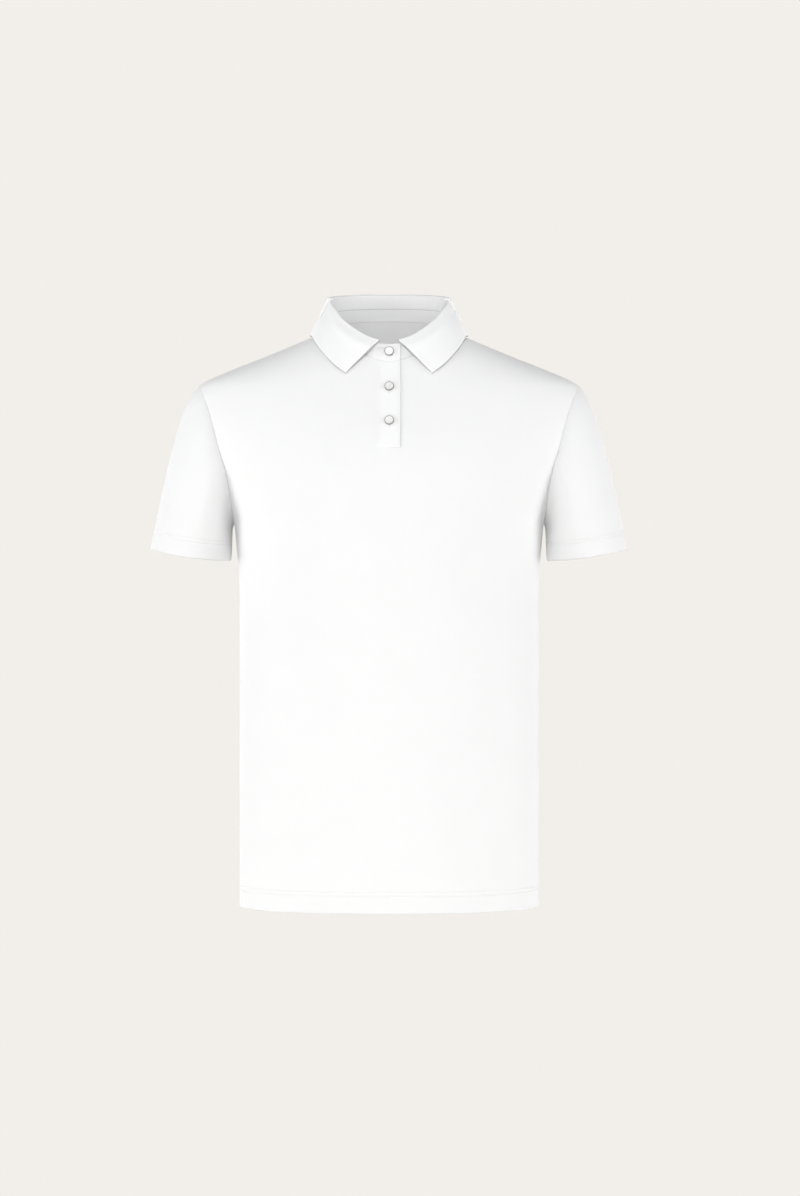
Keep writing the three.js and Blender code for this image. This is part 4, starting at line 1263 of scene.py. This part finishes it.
@dataclass
class Button:
    """A four-hole button turned on a lathe, sewn on with two bars of thread."""

    name: str
    seat: Array
    outward: Array
    radius: float = 5.75
    thickness: float = 2.6
    edge: float = 0.6
    rim_radius: float = 4.7
    rim_drop: float = 0.165
    dish_radius: float = 3.76
    dish_depth: float = 0.55
    hole_ring: float = 1.35
    hole_radius: float = 0.42
    hole_depth: float = 1.1
    hole_margin: float = 0.14
    hole_slope: float = 0.22
    rim_shade_margin: float = 0.2
    rim_shade_blend: float = 0.5
    middle_radius: float = 0.12
    sides: int = 96

    def axes(self) -> tuple[Array, Array, Array]:
        """Level, upward and outward directions on the button's face."""
        outward = unit(self.outward)
        level = unit(np.cross(np.array([0.0, 0.0, 1.0]), outward))
        return level, np.cross(outward, level), outward

    def face_height(self, across: Array) -> Array:
        """Height of the front face over the seat, by distance from the middle: rim, slope and dish."""
        edge_in = self.radius - self.edge
        round_off = np.sqrt(np.clip(1 - ((across - edge_in) / self.edge) ** 2, 0, 1))
        outer = self.thickness - self.edge * (1 - round_off)
        rim = self.rim_drop * smooth_step((edge_in - across) / (edge_in - self.rim_radius))
        dish = (self.dish_depth - self.rim_drop) * smooth_step(
            (self.rim_radius - across) / (self.rim_radius - self.dish_radius)
        )
        return np.where(across > edge_in, outer, self.thickness - rim - dish)

    def build(self) -> bpy.types.Object:
        """The button: rings with a rounded edge and a flat back, and a face lowered at the four holes.

        Returns:
            The object.
        """
        edge_in = self.radius - self.edge
        front = np.concatenate([
            np.linspace(self.middle_radius, self.dish_radius, 26)[:-1],
            np.linspace(self.dish_radius, edge_in, 14)[:-1],
            edge_in + self.edge * np.sin(np.linspace(0, np.pi / 2, 7)),
        ])
        front_height = self.face_height(front)
        back = edge_in + self.edge * np.cos(np.linspace(0, np.pi / 2, 6))
        back_height = self.edge * (1 - np.sin(np.linspace(0, np.pi / 2, 6)))
        across = np.concatenate([front, back, [self.middle_radius]])
        height = np.concatenate([front_height, back_height, [0.0]])
        turns = 2 * np.pi * np.arange(self.sides) / self.sides
        x, y = np.outer(across, np.cos(turns)), np.outer(across, np.sin(turns))
        z = np.repeat(height[:, None], self.sides, axis=1)
        is_front = np.arange(len(across)) < len(front)
        for hole in range(4):
            angle = np.pi / 4 + hole * np.pi / 2
            gap = np.hypot(x - self.hole_ring * math.cos(angle), y - self.hole_ring * math.sin(angle))
            wall = (self.hole_radius + self.hole_margin - gap) / self.hole_slope
            depth = self.hole_depth * smooth_step(wall)
            z = z - depth * is_front[:, None]
        level, upward, outward = self.axes()
        place = self.seat + outward * SEAM_GAP
        points = place + x[..., None] * level + y[..., None] * upward + z[..., None] * outward
        rings = len(across)
        quads = ring_quads(rings, self.sides)
        last = (rings - 1) * self.sides
        faces = quads.tolist() + [list(range(self.sides)), [last + s for s in range(self.sides)][::-1]]
        made = new_object(self.name, points.reshape(-1, 3), faces)
        # Painted shade: share of the dark rim colour, 1 round the outer rim of the face and 0 in the middle
        ring = made.data.attributes.new("rim", "FLOAT", "POINT")
        share = smooth_step((across - self.rim_radius + self.rim_shade_margin) / self.rim_shade_blend)
        ring.data.foreach_set("value", np.repeat(share, self.sides).astype(np.float32))
        return made

    def thread(self) -> list[StitchRun]:
        """Two bars of thread between the holes, each of three strands."""
        level, upward, outward = self.axes()
        half = self.hole_ring * math.cos(np.pi / 4)
        top = self.thickness - self.dish_depth + SEAM_GAP + 0.12
        form = StitchForm(length=2.5 * half, pitch=2.4 * half, radius=0.21, rise=0.34, lie=-0.2)
        runs = []
        for side in (-1, 1):
            for strand in (-0.3, 0.0, 0.3):
                start = self.seat + outward * top + upward * (side * half + strand) - level * half * 1.2
                path = start + level * np.linspace(0, 2.4 * half, 5)[:, None]
                runs.append(StitchRun(path, np.broadcast_to(outward, path.shape), form))
        return runs


class Bench:
    """Makes nodes in a tree and joins them, so that a formula reads as one line after another."""

    def __init__(self, tree: bpy.types.NodeTree) -> None:
        """Works on one node tree."""
        self.tree = tree

    def node(self, kind: str, **settings: object) -> bpy.types.Node:
        """A node of a kind, with its settings."""
        made = self.tree.nodes.new(kind)
        for key, value in settings.items():
            setattr(made, key, value)
        return made

    def feed(self, socket: bpy.types.NodeSocket, value: object) -> None:
        """Joins an output to a socket, or sets the socket to a plain value."""
        if isinstance(value, bpy.types.NodeSocket):
            self.tree.links.new(value, socket)
        else:
            socket.default_value = value

    def math(self, operation: str, *values: object) -> bpy.types.NodeSocket:
        """The result of a sum on numbers or outputs."""
        made = self.node("ShaderNodeMath", operation=operation)
        for place, value in enumerate(values):
            self.feed(made.inputs[place], value)
        return made.outputs[0]

    def mapped(self, value: object, low: float, high: float, to_low: float,
               to_high: float) -> bpy.types.NodeSocket:
        """A value carried from one range to another, and held there."""
        made = self.node("ShaderNodeMapRange")
        for name, number in (("Value", value), ("From Min", low), ("From Max", high),
                             ("To Min", to_low), ("To Max", to_high)):
            self.feed(made.inputs[name], number)
        return made.outputs[0]

    def noise(self, vector: object, scale: float, detail: float = 2.0) -> bpy.types.NodeSocket:
        """Smooth noise over a place."""
        made = self.node("ShaderNodeTexNoise")
        self.feed(made.inputs["Vector"], vector)
        self.feed(made.inputs["Scale"], scale)
        self.feed(made.inputs["Detail"], detail)
        return made.outputs["Fac"]

    def mixed(self, share: object, first: object, second: object) -> bpy.types.NodeSocket:
        """A colour between two colours or outputs, by a share."""
        made = self.node("ShaderNodeMix", data_type="RGBA")
        self.feed(made.inputs[0], share)
        for place, colour in ((6, first), (7, second)):
            self.feed(made.inputs[place], (*colour, 1.0) if isinstance(colour, tuple) else colour)
        return made.outputs[2]


def new_group(name: str, inputs: dict[str, tuple[str, float]], outputs: list[str]) -> bpy.types.NodeTree:
    """A shader node group with named inputs and outputs.

    Args:
        name: the group's name.
        inputs: socket kind and first value of each input.
        outputs: names of the outputs, all plain numbers.
    Returns:
        The empty group.
    """
    tree = bpy.data.node_groups.new(name, "ShaderNodeTree")
    for label, (kind, value) in inputs.items():
        socket = tree.interface.new_socket(label, in_out="INPUT", socket_type=kind)
        if kind == "NodeSocketFloat":
            socket.default_value = value
    for label in outputs:
        tree.interface.new_socket(label, in_out="OUTPUT", socket_type="NodeSocketFloat")
    return tree


class KnitGroup:
    """Jersey knit: columns of V-shaped loops on the flat cloth, a little uneven, with fine fuzz."""

    _made: bpy.types.NodeTree | None = None

    @classmethod
    def tree(cls) -> bpy.types.NodeTree:
        """The group, built once: height of the loops, and a painted shade for the gaps between them.

        The height is a rounded column, |sin(pi u)|, times a wave down it that leans with the distance
        from the column's middle, so that the loops look like a row of Vs.
        """
        if cls._made is not None:
            return cls._made
        tree = new_group(
            "knit",
            {"Cloth": ("NodeSocketVector", 0.0), "Column": ("NodeSocketFloat", 1400.0),
             "Row": ("NodeSocketFloat", 1750.0), "Unevenness": ("NodeSocketFloat", 0.35)},
            ["Height", "PaintedGapShade"],
        )
        bench = Bench(tree)
        given = bench.node("NodeGroupInput").outputs
        spread = bench.node("ShaderNodeSeparateXYZ")
        bench.feed(spread.inputs[0], given["Cloth"])
        wander = bench.math("MULTIPLY", bench.math("SUBTRACT", bench.noise(given["Cloth"], 160.0), 0.5),
                            given["Unevenness"])
        column = bench.math("ADD", bench.math("MULTIPLY", spread.outputs[0], given["Column"]), wander)
        row = bench.math("MULTIPLY", spread.outputs[1], given["Row"])
        rounded = bench.math("ABSOLUTE", bench.math("SINE", bench.math("MULTIPLY", column, math.pi)))
        lean = bench.math("MULTIPLY", bench.math("PINGPONG", column, 0.5), 1.1)
        wave = bench.math("SINE", bench.math("MULTIPLY", bench.math("ADD", row, lean), 2 * math.pi))
        loop = bench.math("MULTIPLY", bench.math("POWER", rounded, 0.7), bench.mapped(wave, -1, 1, 0.55, 1))
        fuzz = bench.math("MULTIPLY", bench.noise(given["Cloth"], 5200.0, 3.0), 0.35)
        result = bench.node("NodeGroupOutput")
        bench.feed(result.inputs["Height"], bench.math("ADD", loop, fuzz))
        # Painted shade in the gaps: 1 where a loop is lowest, 0 where it is half high
        bench.feed(result.inputs["PaintedGapShade"], bench.mapped(loop, 0.0, 0.5, 1.0, 0.0))
        cls._made = tree
        return tree


class WearGroup:
    """Slow unevenness of a finish over the object: soft patches and a fine speckle."""

    _made: bpy.types.NodeTree | None = None

    @classmethod
    def tree(cls) -> bpy.types.NodeTree:
        """The group, built once: one share from soft patches and one from a fine speckle."""
        if cls._made is not None:
            return cls._made
        tree = new_group(
            "unevenness",
            {"Place": ("NodeSocketVector", 0.0), "Patch": ("NodeSocketFloat", 14.0),
             "Speckle": ("NodeSocketFloat", 900.0)},
            ["Patches", "Speckles"],
        )
        bench = Bench(tree)
        given = bench.node("NodeGroupInput").outputs
        result = bench.node("NodeGroupOutput")
        bench.feed(result.inputs["Patches"], bench.mapped(
            bench.noise(given["Place"], given["Patch"], 3.0), 0.3, 0.7, 0.0, 1.0))
        bench.feed(result.inputs["Speckles"], bench.mapped(
            bench.noise(given["Place"], given["Speckle"], 1.0), 0.35, 0.65, 0.0, 1.0))
        cls._made = tree
        return tree


class FinishBench(Bench):
    """A new material with its shader, and the unevenness group read from the object's own places."""

    def __init__(self, name: str, **uneven: float) -> None:
        """Makes the material.

        Args:
            name: the material's name.
            uneven: values for the inputs of the unevenness group.
        """
        self.made = bpy.data.materials.new(name)
        self.made.use_nodes = True
        super().__init__(self.made.node_tree)
        self.shader = self.made.node_tree.nodes["Principled BSDF"]
        wear = self.node("ShaderNodeGroup", node_tree=WearGroup.tree())
        self.feed(wear.inputs["Place"], self.node("ShaderNodeTexCoord").outputs["Object"])
        for label, value in uneven.items():
            self.feed(wear.inputs[label], value)
        self.patches, self.speckles = wear.outputs["Patches"], wear.outputs["Speckles"]

    def set(self, values: dict[str, object]) -> None:
        """Feeds inputs of the shader by name."""
        for label, value in values.items():
            self.feed(self.shader.inputs[label], value)

    def bump(self, height: bpy.types.NodeSocket, strength: float, distance: float) -> None:
        """Gives the shader a fine relief."""
        made = self.node("ShaderNodeBump")
        self.feed(made.inputs["Strength"], strength)
        self.feed(made.inputs["Distance"], distance)
        self.feed(made.inputs["Height"], height)
        self.feed(self.shader.inputs["Normal"], made.outputs["Normal"])


@dataclass(frozen=True)
class ClothFinish:
    """A white knitted cloth: fine loops in its relief, a painted shade in the gaps between the loops and at
    the rounded edges, soft patches of tone and a soft sheen.
    """

    name: str
    white: tuple[float, float, float] = (0.928, 0.93, 0.934)
    shade: tuple[float, float, float] = (0.902, 0.904, 0.908)
    column: float = 1400.0
    row: float = 1750.0
    relief: float = 0.00022
    strength: float = 0.35
    roughness: float = 0.78
    sheen: float = 0.12
    # Share of the shade colour painted at the rounded edges as a shadow line; lower is darker
    painted_edge_shade_factor: float = 1.0

    def material(self) -> bpy.types.Material:
        """The material, made new."""
        bench = FinishBench(self.name)
        bench.made.diffuse_color = (*self.white, 1.0)
        knit = bench.node("ShaderNodeGroup", node_tree=KnitGroup.tree())
        bench.feed(knit.inputs["Cloth"], bench.node("ShaderNodeUVMap", uv_map="cloth").outputs["UV"])
        bench.feed(knit.inputs["Column"], self.column)
        bench.feed(knit.inputs["Row"], self.row)
        # Painted shade in the knit's gaps, plus soft patches of tone that differ at random
        tone = bench.math("ADD", bench.math("MULTIPLY", knit.outputs["PaintedGapShade"], 0.55),
                          bench.math("MULTIPLY", bench.patches, 0.3))
        # Painted shade: the rounded edges, from the "edge" attribute, are darkened to the shade colour times
        # the edge factor, as a shadow line along seams and collar edges
        edge = bench.node("ShaderNodeAttribute", attribute_name="edge").outputs["Fac"]
        turned = tuple(value * self.painted_edge_shade_factor for value in self.shade)
        bench.bump(knit.outputs["Height"], self.strength, self.relief)
        bench.set({
            "Base Color": bench.mixed(edge, bench.mixed(tone, self.white, self.shade), turned),
            "Roughness": bench.mapped(bench.speckles, 0, 1, self.roughness - 0.05, self.roughness + 0.07),
            "Sheen Weight": self.sheen,
            "Sheen Roughness": 0.45,
            "Specular IOR Level": 0.25,
        })
        return bench.made


@dataclass(frozen=True)
class ThreadFinish:
    """White twisted sewing thread."""

    name: str = "thread_white"
    white: tuple[float, float, float] = (0.93, 0.928, 0.925)
    shade: tuple[float, float, float] = (0.86, 0.857, 0.85)
    roughness: float = 0.55

    def material(self) -> bpy.types.Material:
        """The material, made new: a fine twist in tone and relief."""
        bench = FinishBench(self.name, Speckle=3200.0)
        bench.bump(bench.speckles, 0.5, 0.00008)
        bench.set({
            "Base Color": bench.mixed(bench.speckles, self.white, self.shade),
            "Roughness": bench.mapped(bench.speckles, 0, 1, self.roughness - 0.08, self.roughness + 0.08),
            "Sheen Weight": 0.1,
        })
        return bench.made


@dataclass(frozen=True)
class PearlFinish:
    """Pearly polished button: cloudy layers of grey and cream under a clear gloss, and a dark rim that is
    painted shade.
    """

    name: str = "button_pearl"
    light: tuple[float, float, float] = (0.9, 0.895, 0.885)
    deep: tuple[float, float, float] = (0.82, 0.812, 0.805)
    # Dark colour painted round the rim as shade
    rim: tuple[float, float, float] = (0.34, 0.336, 0.33)
    roughness: float = 0.42

    def material(self) -> bpy.types.Material:
        """The material, made new."""
        bench = FinishBench(self.name, Patch=210.0, Speckle=2400.0)
        clouds = bench.mixed(bench.patches, self.light, self.deep)
        # Painted shade: the rim from the button's "rim" attribute takes the dark colour
        rim = bench.node("ShaderNodeAttribute", attribute_name="rim").outputs["Fac"]
        bench.set({
            "Base Color": bench.mixed(rim, clouds, self.rim),
            "Roughness": bench.mapped(bench.speckles, 0, 1, self.roughness - 0.06, self.roughness + 0.1),
            "Coat Weight": 0.15,
            "Coat Roughness": 0.2,
        })
        return bench.made


@dataclass(frozen=True)
class FloorFinish:
    """The pale floor, as bright as the ground behind the shirt."""

    name: str = "floor_pale"
    colour: tuple[float, float, float] = GROUND

    def material(self) -> bpy.types.Material:
        """The material, made new: a matt colour that glows a little, so that no edge shows."""
        bench = FinishBench(self.name, Patch=2.0)
        bench.set({
            "Roughness": bench.mapped(bench.patches, 0, 1, 0.85, 0.95),
            "Base Color": (0.35, 0.34, 0.325, 1.0),
            "Emission Color": (*self.colour, 1.0),
            "Emission Strength": 0.62,
            "Specular IOR Level": 0.1,
        })
        return bench.made


@dataclass
class Studio:
    """Camera, soft lights, pale surroundings and floor."""

    camera_place: tuple[float, float, float] = (0.0135, -4.35, -0.3284)
    seen_height: float = 1.471
    sensor: float = 36.0
    ground: tuple[float, float, float] = GROUND
    surroundings: tuple[tuple[float, float], ...] = (
        (0.0, 0.05), (0.3, 0.1), (0.5, 0.4), (0.64, 0.39), (0.82, 0.28), (1.0, 0.13))
    floor_height: float = -1.5
    floor_radius: float = 1.7
    floor_sides: int = 96
    aim: tuple[float, float, float] = (0.0, 0.0, -0.35)
    lights: dict[str, tuple[tuple[float, float, float], float, float]] = field(default_factory=lambda: {
        "key": ((-0.4, -3.0, 1.5), 0.5, 38.0),
        "front_left": ((-1.2, -4.0, -0.9), 1.6, 10.0),
        "front_right": ((1.2, -4.0, -0.9), 1.6, 10.0),
        "side_left": ((-3.6, -1.6, -0.3), 2.4, 72.0),
        "side_right": ((3.6, -1.6, -0.3), 2.4, 72.0),
        "back_left": ((-2.4, 3.4, 0.0), 2.2, 62.0),
        "back_right": ((2.4, 3.4, 0.0), 2.2, 62.0),
        "inside": ((0.0, -0.01, -0.2), 0.14, 0.055),
    })

    def camera(self) -> None:
        """Level camera in front, far off, whose frame is seen_height tall at the shirt's middle."""
        data = bpy.data.cameras.new("camera")
        data.sensor_fit = "AUTO"
        data.sensor_width = self.sensor
        data.lens = self.sensor * abs(self.camera_place[1]) / self.seen_height
        data.clip_end = 50.0
        camera = bpy.data.objects.new("camera", data)
        camera.location = self.camera_place
        camera.rotation_euler = (math.pi / 2, 0, 0)
        bpy.context.scene.collection.objects.link(camera)
        bpy.context.scene.camera = camera

    def light(self) -> None:
        """Even pale surroundings and large soft lights that face the middle of the shirt."""
        world = bpy.data.worlds.new("surroundings")
        world.use_nodes = True
        bench = Bench(world.node_tree)
        seen = world.node_tree.nodes["Background"]
        seen.inputs["Color"].default_value = (*self.ground, 1.0)
        direction = bench.node("ShaderNodeTexCoord").outputs["Generated"]
        spread = bench.node("ShaderNodeSeparateXYZ")
        bench.feed(spread.inputs[0], direction)
        ramp = bench.node("ShaderNodeValToRGB")
        bench.feed(ramp.inputs["Fac"], bench.mapped(spread.outputs[2], -1, 1, 0, 1))
        stops = ramp.color_ramp.elements
        for place, _ in self.surroundings[1:-1]:
            stops.new(place)
        for stop, (_, bright) in zip(stops, self.surroundings):
            stop.color = (bright / 2, bright / 2, bright / 2, 1.0)
        lighting = bench.node("ShaderNodeBackground")
        bench.feed(lighting.inputs["Color"], ramp.outputs["Color"])
        lighting.inputs["Strength"].default_value = 2.0
        mix = bench.node("ShaderNodeMixShader")
        bench.feed(mix.inputs[0], bench.node("ShaderNodeLightPath").outputs["Is Camera Ray"])
        bench.feed(mix.inputs[1], lighting.outputs[0])
        bench.feed(mix.inputs[2], seen.outputs[0])
        bench.feed(world.node_tree.nodes["World Output"].inputs["Surface"], mix.outputs[0])
        bpy.context.scene.world = world
        bpy.context.scene.view_settings.view_transform = "Standard"
        middle = np.array(self.aim)
        for name, (place, size, power) in self.lights.items():
            data = bpy.data.lights.new(name, "AREA")
            data.shape, data.size, data.energy = "DISK", size, power
            lamp = bpy.data.objects.new(name, data)
            lamp.location = place
            lamp.visible_camera = False
            away = unit(np.array(place) - middle) if name != "inside" else np.array([0.0, 0.0, -1.0])
            lamp.rotation_euler = (math.acos(away[2]), 0, math.atan2(away[0], -away[1]))
            bpy.context.scene.collection.objects.link(lamp)

    def floor(self) -> None:
        """A round pale floor below the shirt: rings of points about the middle."""
        sides = self.floor_sides
        turns = 2 * np.pi * np.arange(sides) / sides
        reach = np.array([0.02, 0.6, 1.2, self.floor_radius])[:, None] / MM
        points = stack(reach * np.cos(turns), reach * np.sin(turns), self.floor_height / MM)
        faces = ring_quads(len(reach), sides).tolist() + [list(range(sides))]
        floor = new_object("floor", points.reshape(-1, 3), faces)
        floor.data.materials.append(FloorFinish().material())


@dataclass
class PoloShirt:
    """The whole shirt, piece by piece."""

    def build(self) -> None:
        """Builds every piece, dresses it and reports it."""
        jersey = ClothFinish("jersey_white").material()
        # The pressed cloth gets a strong painted shadow line at its edges
        pressed = ClothFinish("jersey_pressed", (0.955, 0.957, 0.961), (0.926, 0.928, 0.932), column=1500.0,
                              row=1900.0, strength=0.28, sheen=0.1, painted_edge_shade_factor=0.2).material()
        thread = ThreadFinish().material()
        pearl = PearlFinish().material()

        for panel in (Panel("panel_front", Side.FRONT, creases=FRONT_CREASES),
                      Panel("panel_back", Side.BACK, creases=BACK_CREASES)):
            node = panel.side.name.lower()
            sewn = self.sewn(f"stitches_{node}", panel.hem_stitches(), thread, "jersey")
            self.cloth(panel.wall(), node, "jersey", jersey, "hung", [], [sewn])
        for sleeve in (Sleeve("cloth_sleeve_left", Hand.LEFT, creases=SLEEVE_CREASES),
                       Sleeve("cloth_sleeve_right", Hand.RIGHT, creases=SLEEVE_CREASES)):
            node = f"sleeve_{sleeve.hand.name.lower()}"
            sewn = self.sewn(f"stitches_{node}", sleeve.hem_stitches(), thread, "jersey")
            self.cloth(sleeve.wall(), node, "jersey", jersey, "hung", [], [sewn])

        stand = CollarStand()
        runs = stand.stitches() + stand.buttonhole_stitches()
        sewn = self.sewn("stitches_stand", runs, thread, "collar_cloth")
        self.cloth(stand.wall(), "collar_stand", "collar_cloth", pressed, "folded", [], [sewn],
                   "cloth_stand")
        leaf = CollarLeaf()
        self.cloth(leaf.wall(), "collar_leaf", "collar_cloth", pressed, "folded", ["cloth_stand"], [],
                   "cloth_leaf")

        under = PlacketStrip("placket_under", is_upper=False)
        upper = PlacketStrip("placket_top", is_upper=True)
        self.cloth(under.wall(), "placket_under", "collar_cloth", pressed, "folded", [], [],
                   "cloth_placket_under")
        holes = []
        for height in PLACKET_BUTTON_HEIGHTS:
            low, high = height - BUTTONHOLE_HALF_LENGTH, height + BUTTONHOLE_HALF_LENGTH
            holes += buttonhole_runs(upper.surface, (BUTTON_SIDE, low), (BUTTON_SIDE, high))
        sewn = self.sewn("stitches_placket", upper.stitches() + holes, thread, "collar_cloth")
        self.cloth(upper.wall(), "placket_top", "collar_cloth", pressed, "folded", [], [sewn],
                   "cloth_placket_top")

        seats = [(stand.on_upper_lap, STAND_BUTTON_HEIGHT)]
        seats += [(upper.surface, height) for height in PLACKET_BUTTON_HEIGHTS]
        bars = []
        for number, (surface, height) in enumerate(seats, start=1):
            across, level = np.array(BUTTON_SIDE), np.array(height)
            outward = square_to(surface, across, level)
            button = Button(f"pearl_button_{number}", surface(across, level), outward)
            made = Piece(button.build(), "button", (f"button_{number}",))
            made.dress(pearl)
            bars += button.thread()
            LOG.info("%s: built", made.thing.name)
        self.sewn("thread_buttons", bars, thread, "button")

    def sewn(self, name: str, runs: list[StitchRun], thread: bpy.types.Material,
             slot: str) -> bpy.types.Object:
        """A piece of stitches, dressed as thread."""
        piece = Piece(stitched(name, runs), slot)
        piece.dress(thread)
        LOG.info("%s: %d rows of stitches", name, len(runs))
        return piece.thing

    def cloth(self, wall: ClothWall, node: str, slot: str, material: bpy.types.Material, held: str,
              rests_on: list[str], sewn: list[bpy.types.Object], name: str | None = None) -> None:
        """A piece of cloth that stands for a node, dressed, with the size of its cut logged."""
        wall.name = name or wall.name
        piece = Piece(wall.build(), slot, (node,))
        piece.dress(material)
        piece.declare_sheet(wall)


# Where the buttons sit, and the soft folds of each panel: troughs below 0 and ridges above
BUTTON_SIDE = 0.5
STAND_BUTTON_HEIGHT = -29.7
PLACKET_BUTTON_HEIGHTS = (-73.2, -114.9)
BUTTONHOLE_HALF_LENGTH = 6.6
FRONT_CREASES = [
    Crease((-186, -248), (-118, -287), 9, -0.8, 5), Crease((-187, -266), (-132, -334), 12, 0.6, -6),
    Crease((186, -250), (126, -296), 10, -0.7, -4), Crease((187, -272), (141, -325), 11, 0.5, 5),
    Crease((-148, -395), (-122, -590), 17, 0.7, 9), Crease((137, -430), (158, -648), 15, -0.7, -7),
    Crease((-62, -505), (-84, -668), 19, -0.5, 8), Crease((48, -470), (73, -660), 21, 0.6, -9),
    Crease((-150, -118), (-96, -176), 13, -0.5, 6), Crease((146, -112), (101, -182), 14, -0.5, -5),
]
BACK_CREASES = [
    Crease((-184, -250), (-112, -300), 10, -0.9, 6), Crease((186, -254), (121, -288), 9, -0.8, -5),
    Crease((-70, -58), (58, -66), 12, -0.7, -6), Crease((-118, -150), (-92, -330), 18, 0.8, 10),
    Crease((112, -160), (84, -352), 17, 0.7, -9), Crease((-30, -330), (-46, -610), 22, -0.7, 8),
    Crease((58, -400), (44, -655), 20, 0.7, -7), Crease((-152, -430), (-136, -640), 16, -0.7, 6),
    Crease((150, -415), (139, -618), 15, 0.6, -6),
]
SLEEVE_CREASES = [
    Crease((16, 98), (62, 58), 8, -0.8, 4), Crease((384, 96), (341, 62), 8, -0.7, -4),
    Crease((52, 120), (104, 84), 10, 0.6, 5), Crease((352, 128), (306, 92), 10, 0.5, -4),
    Crease((140, 60), (168, 34), 11, -0.5, 3), Crease((262, 74), (238, 40), 12, -0.4, -3),
]


def main() -> None:
    """Builds the studio and the shirt, and writes how large the shirt came out."""
    logging.basicConfig(level=logging.INFO, format="%(name)s: %(message)s")
    studio = Studio()
    studio.camera()
    studio.light()
    studio.floor()
    PoloShirt().build()


if __name__ == "__main__":
    main()
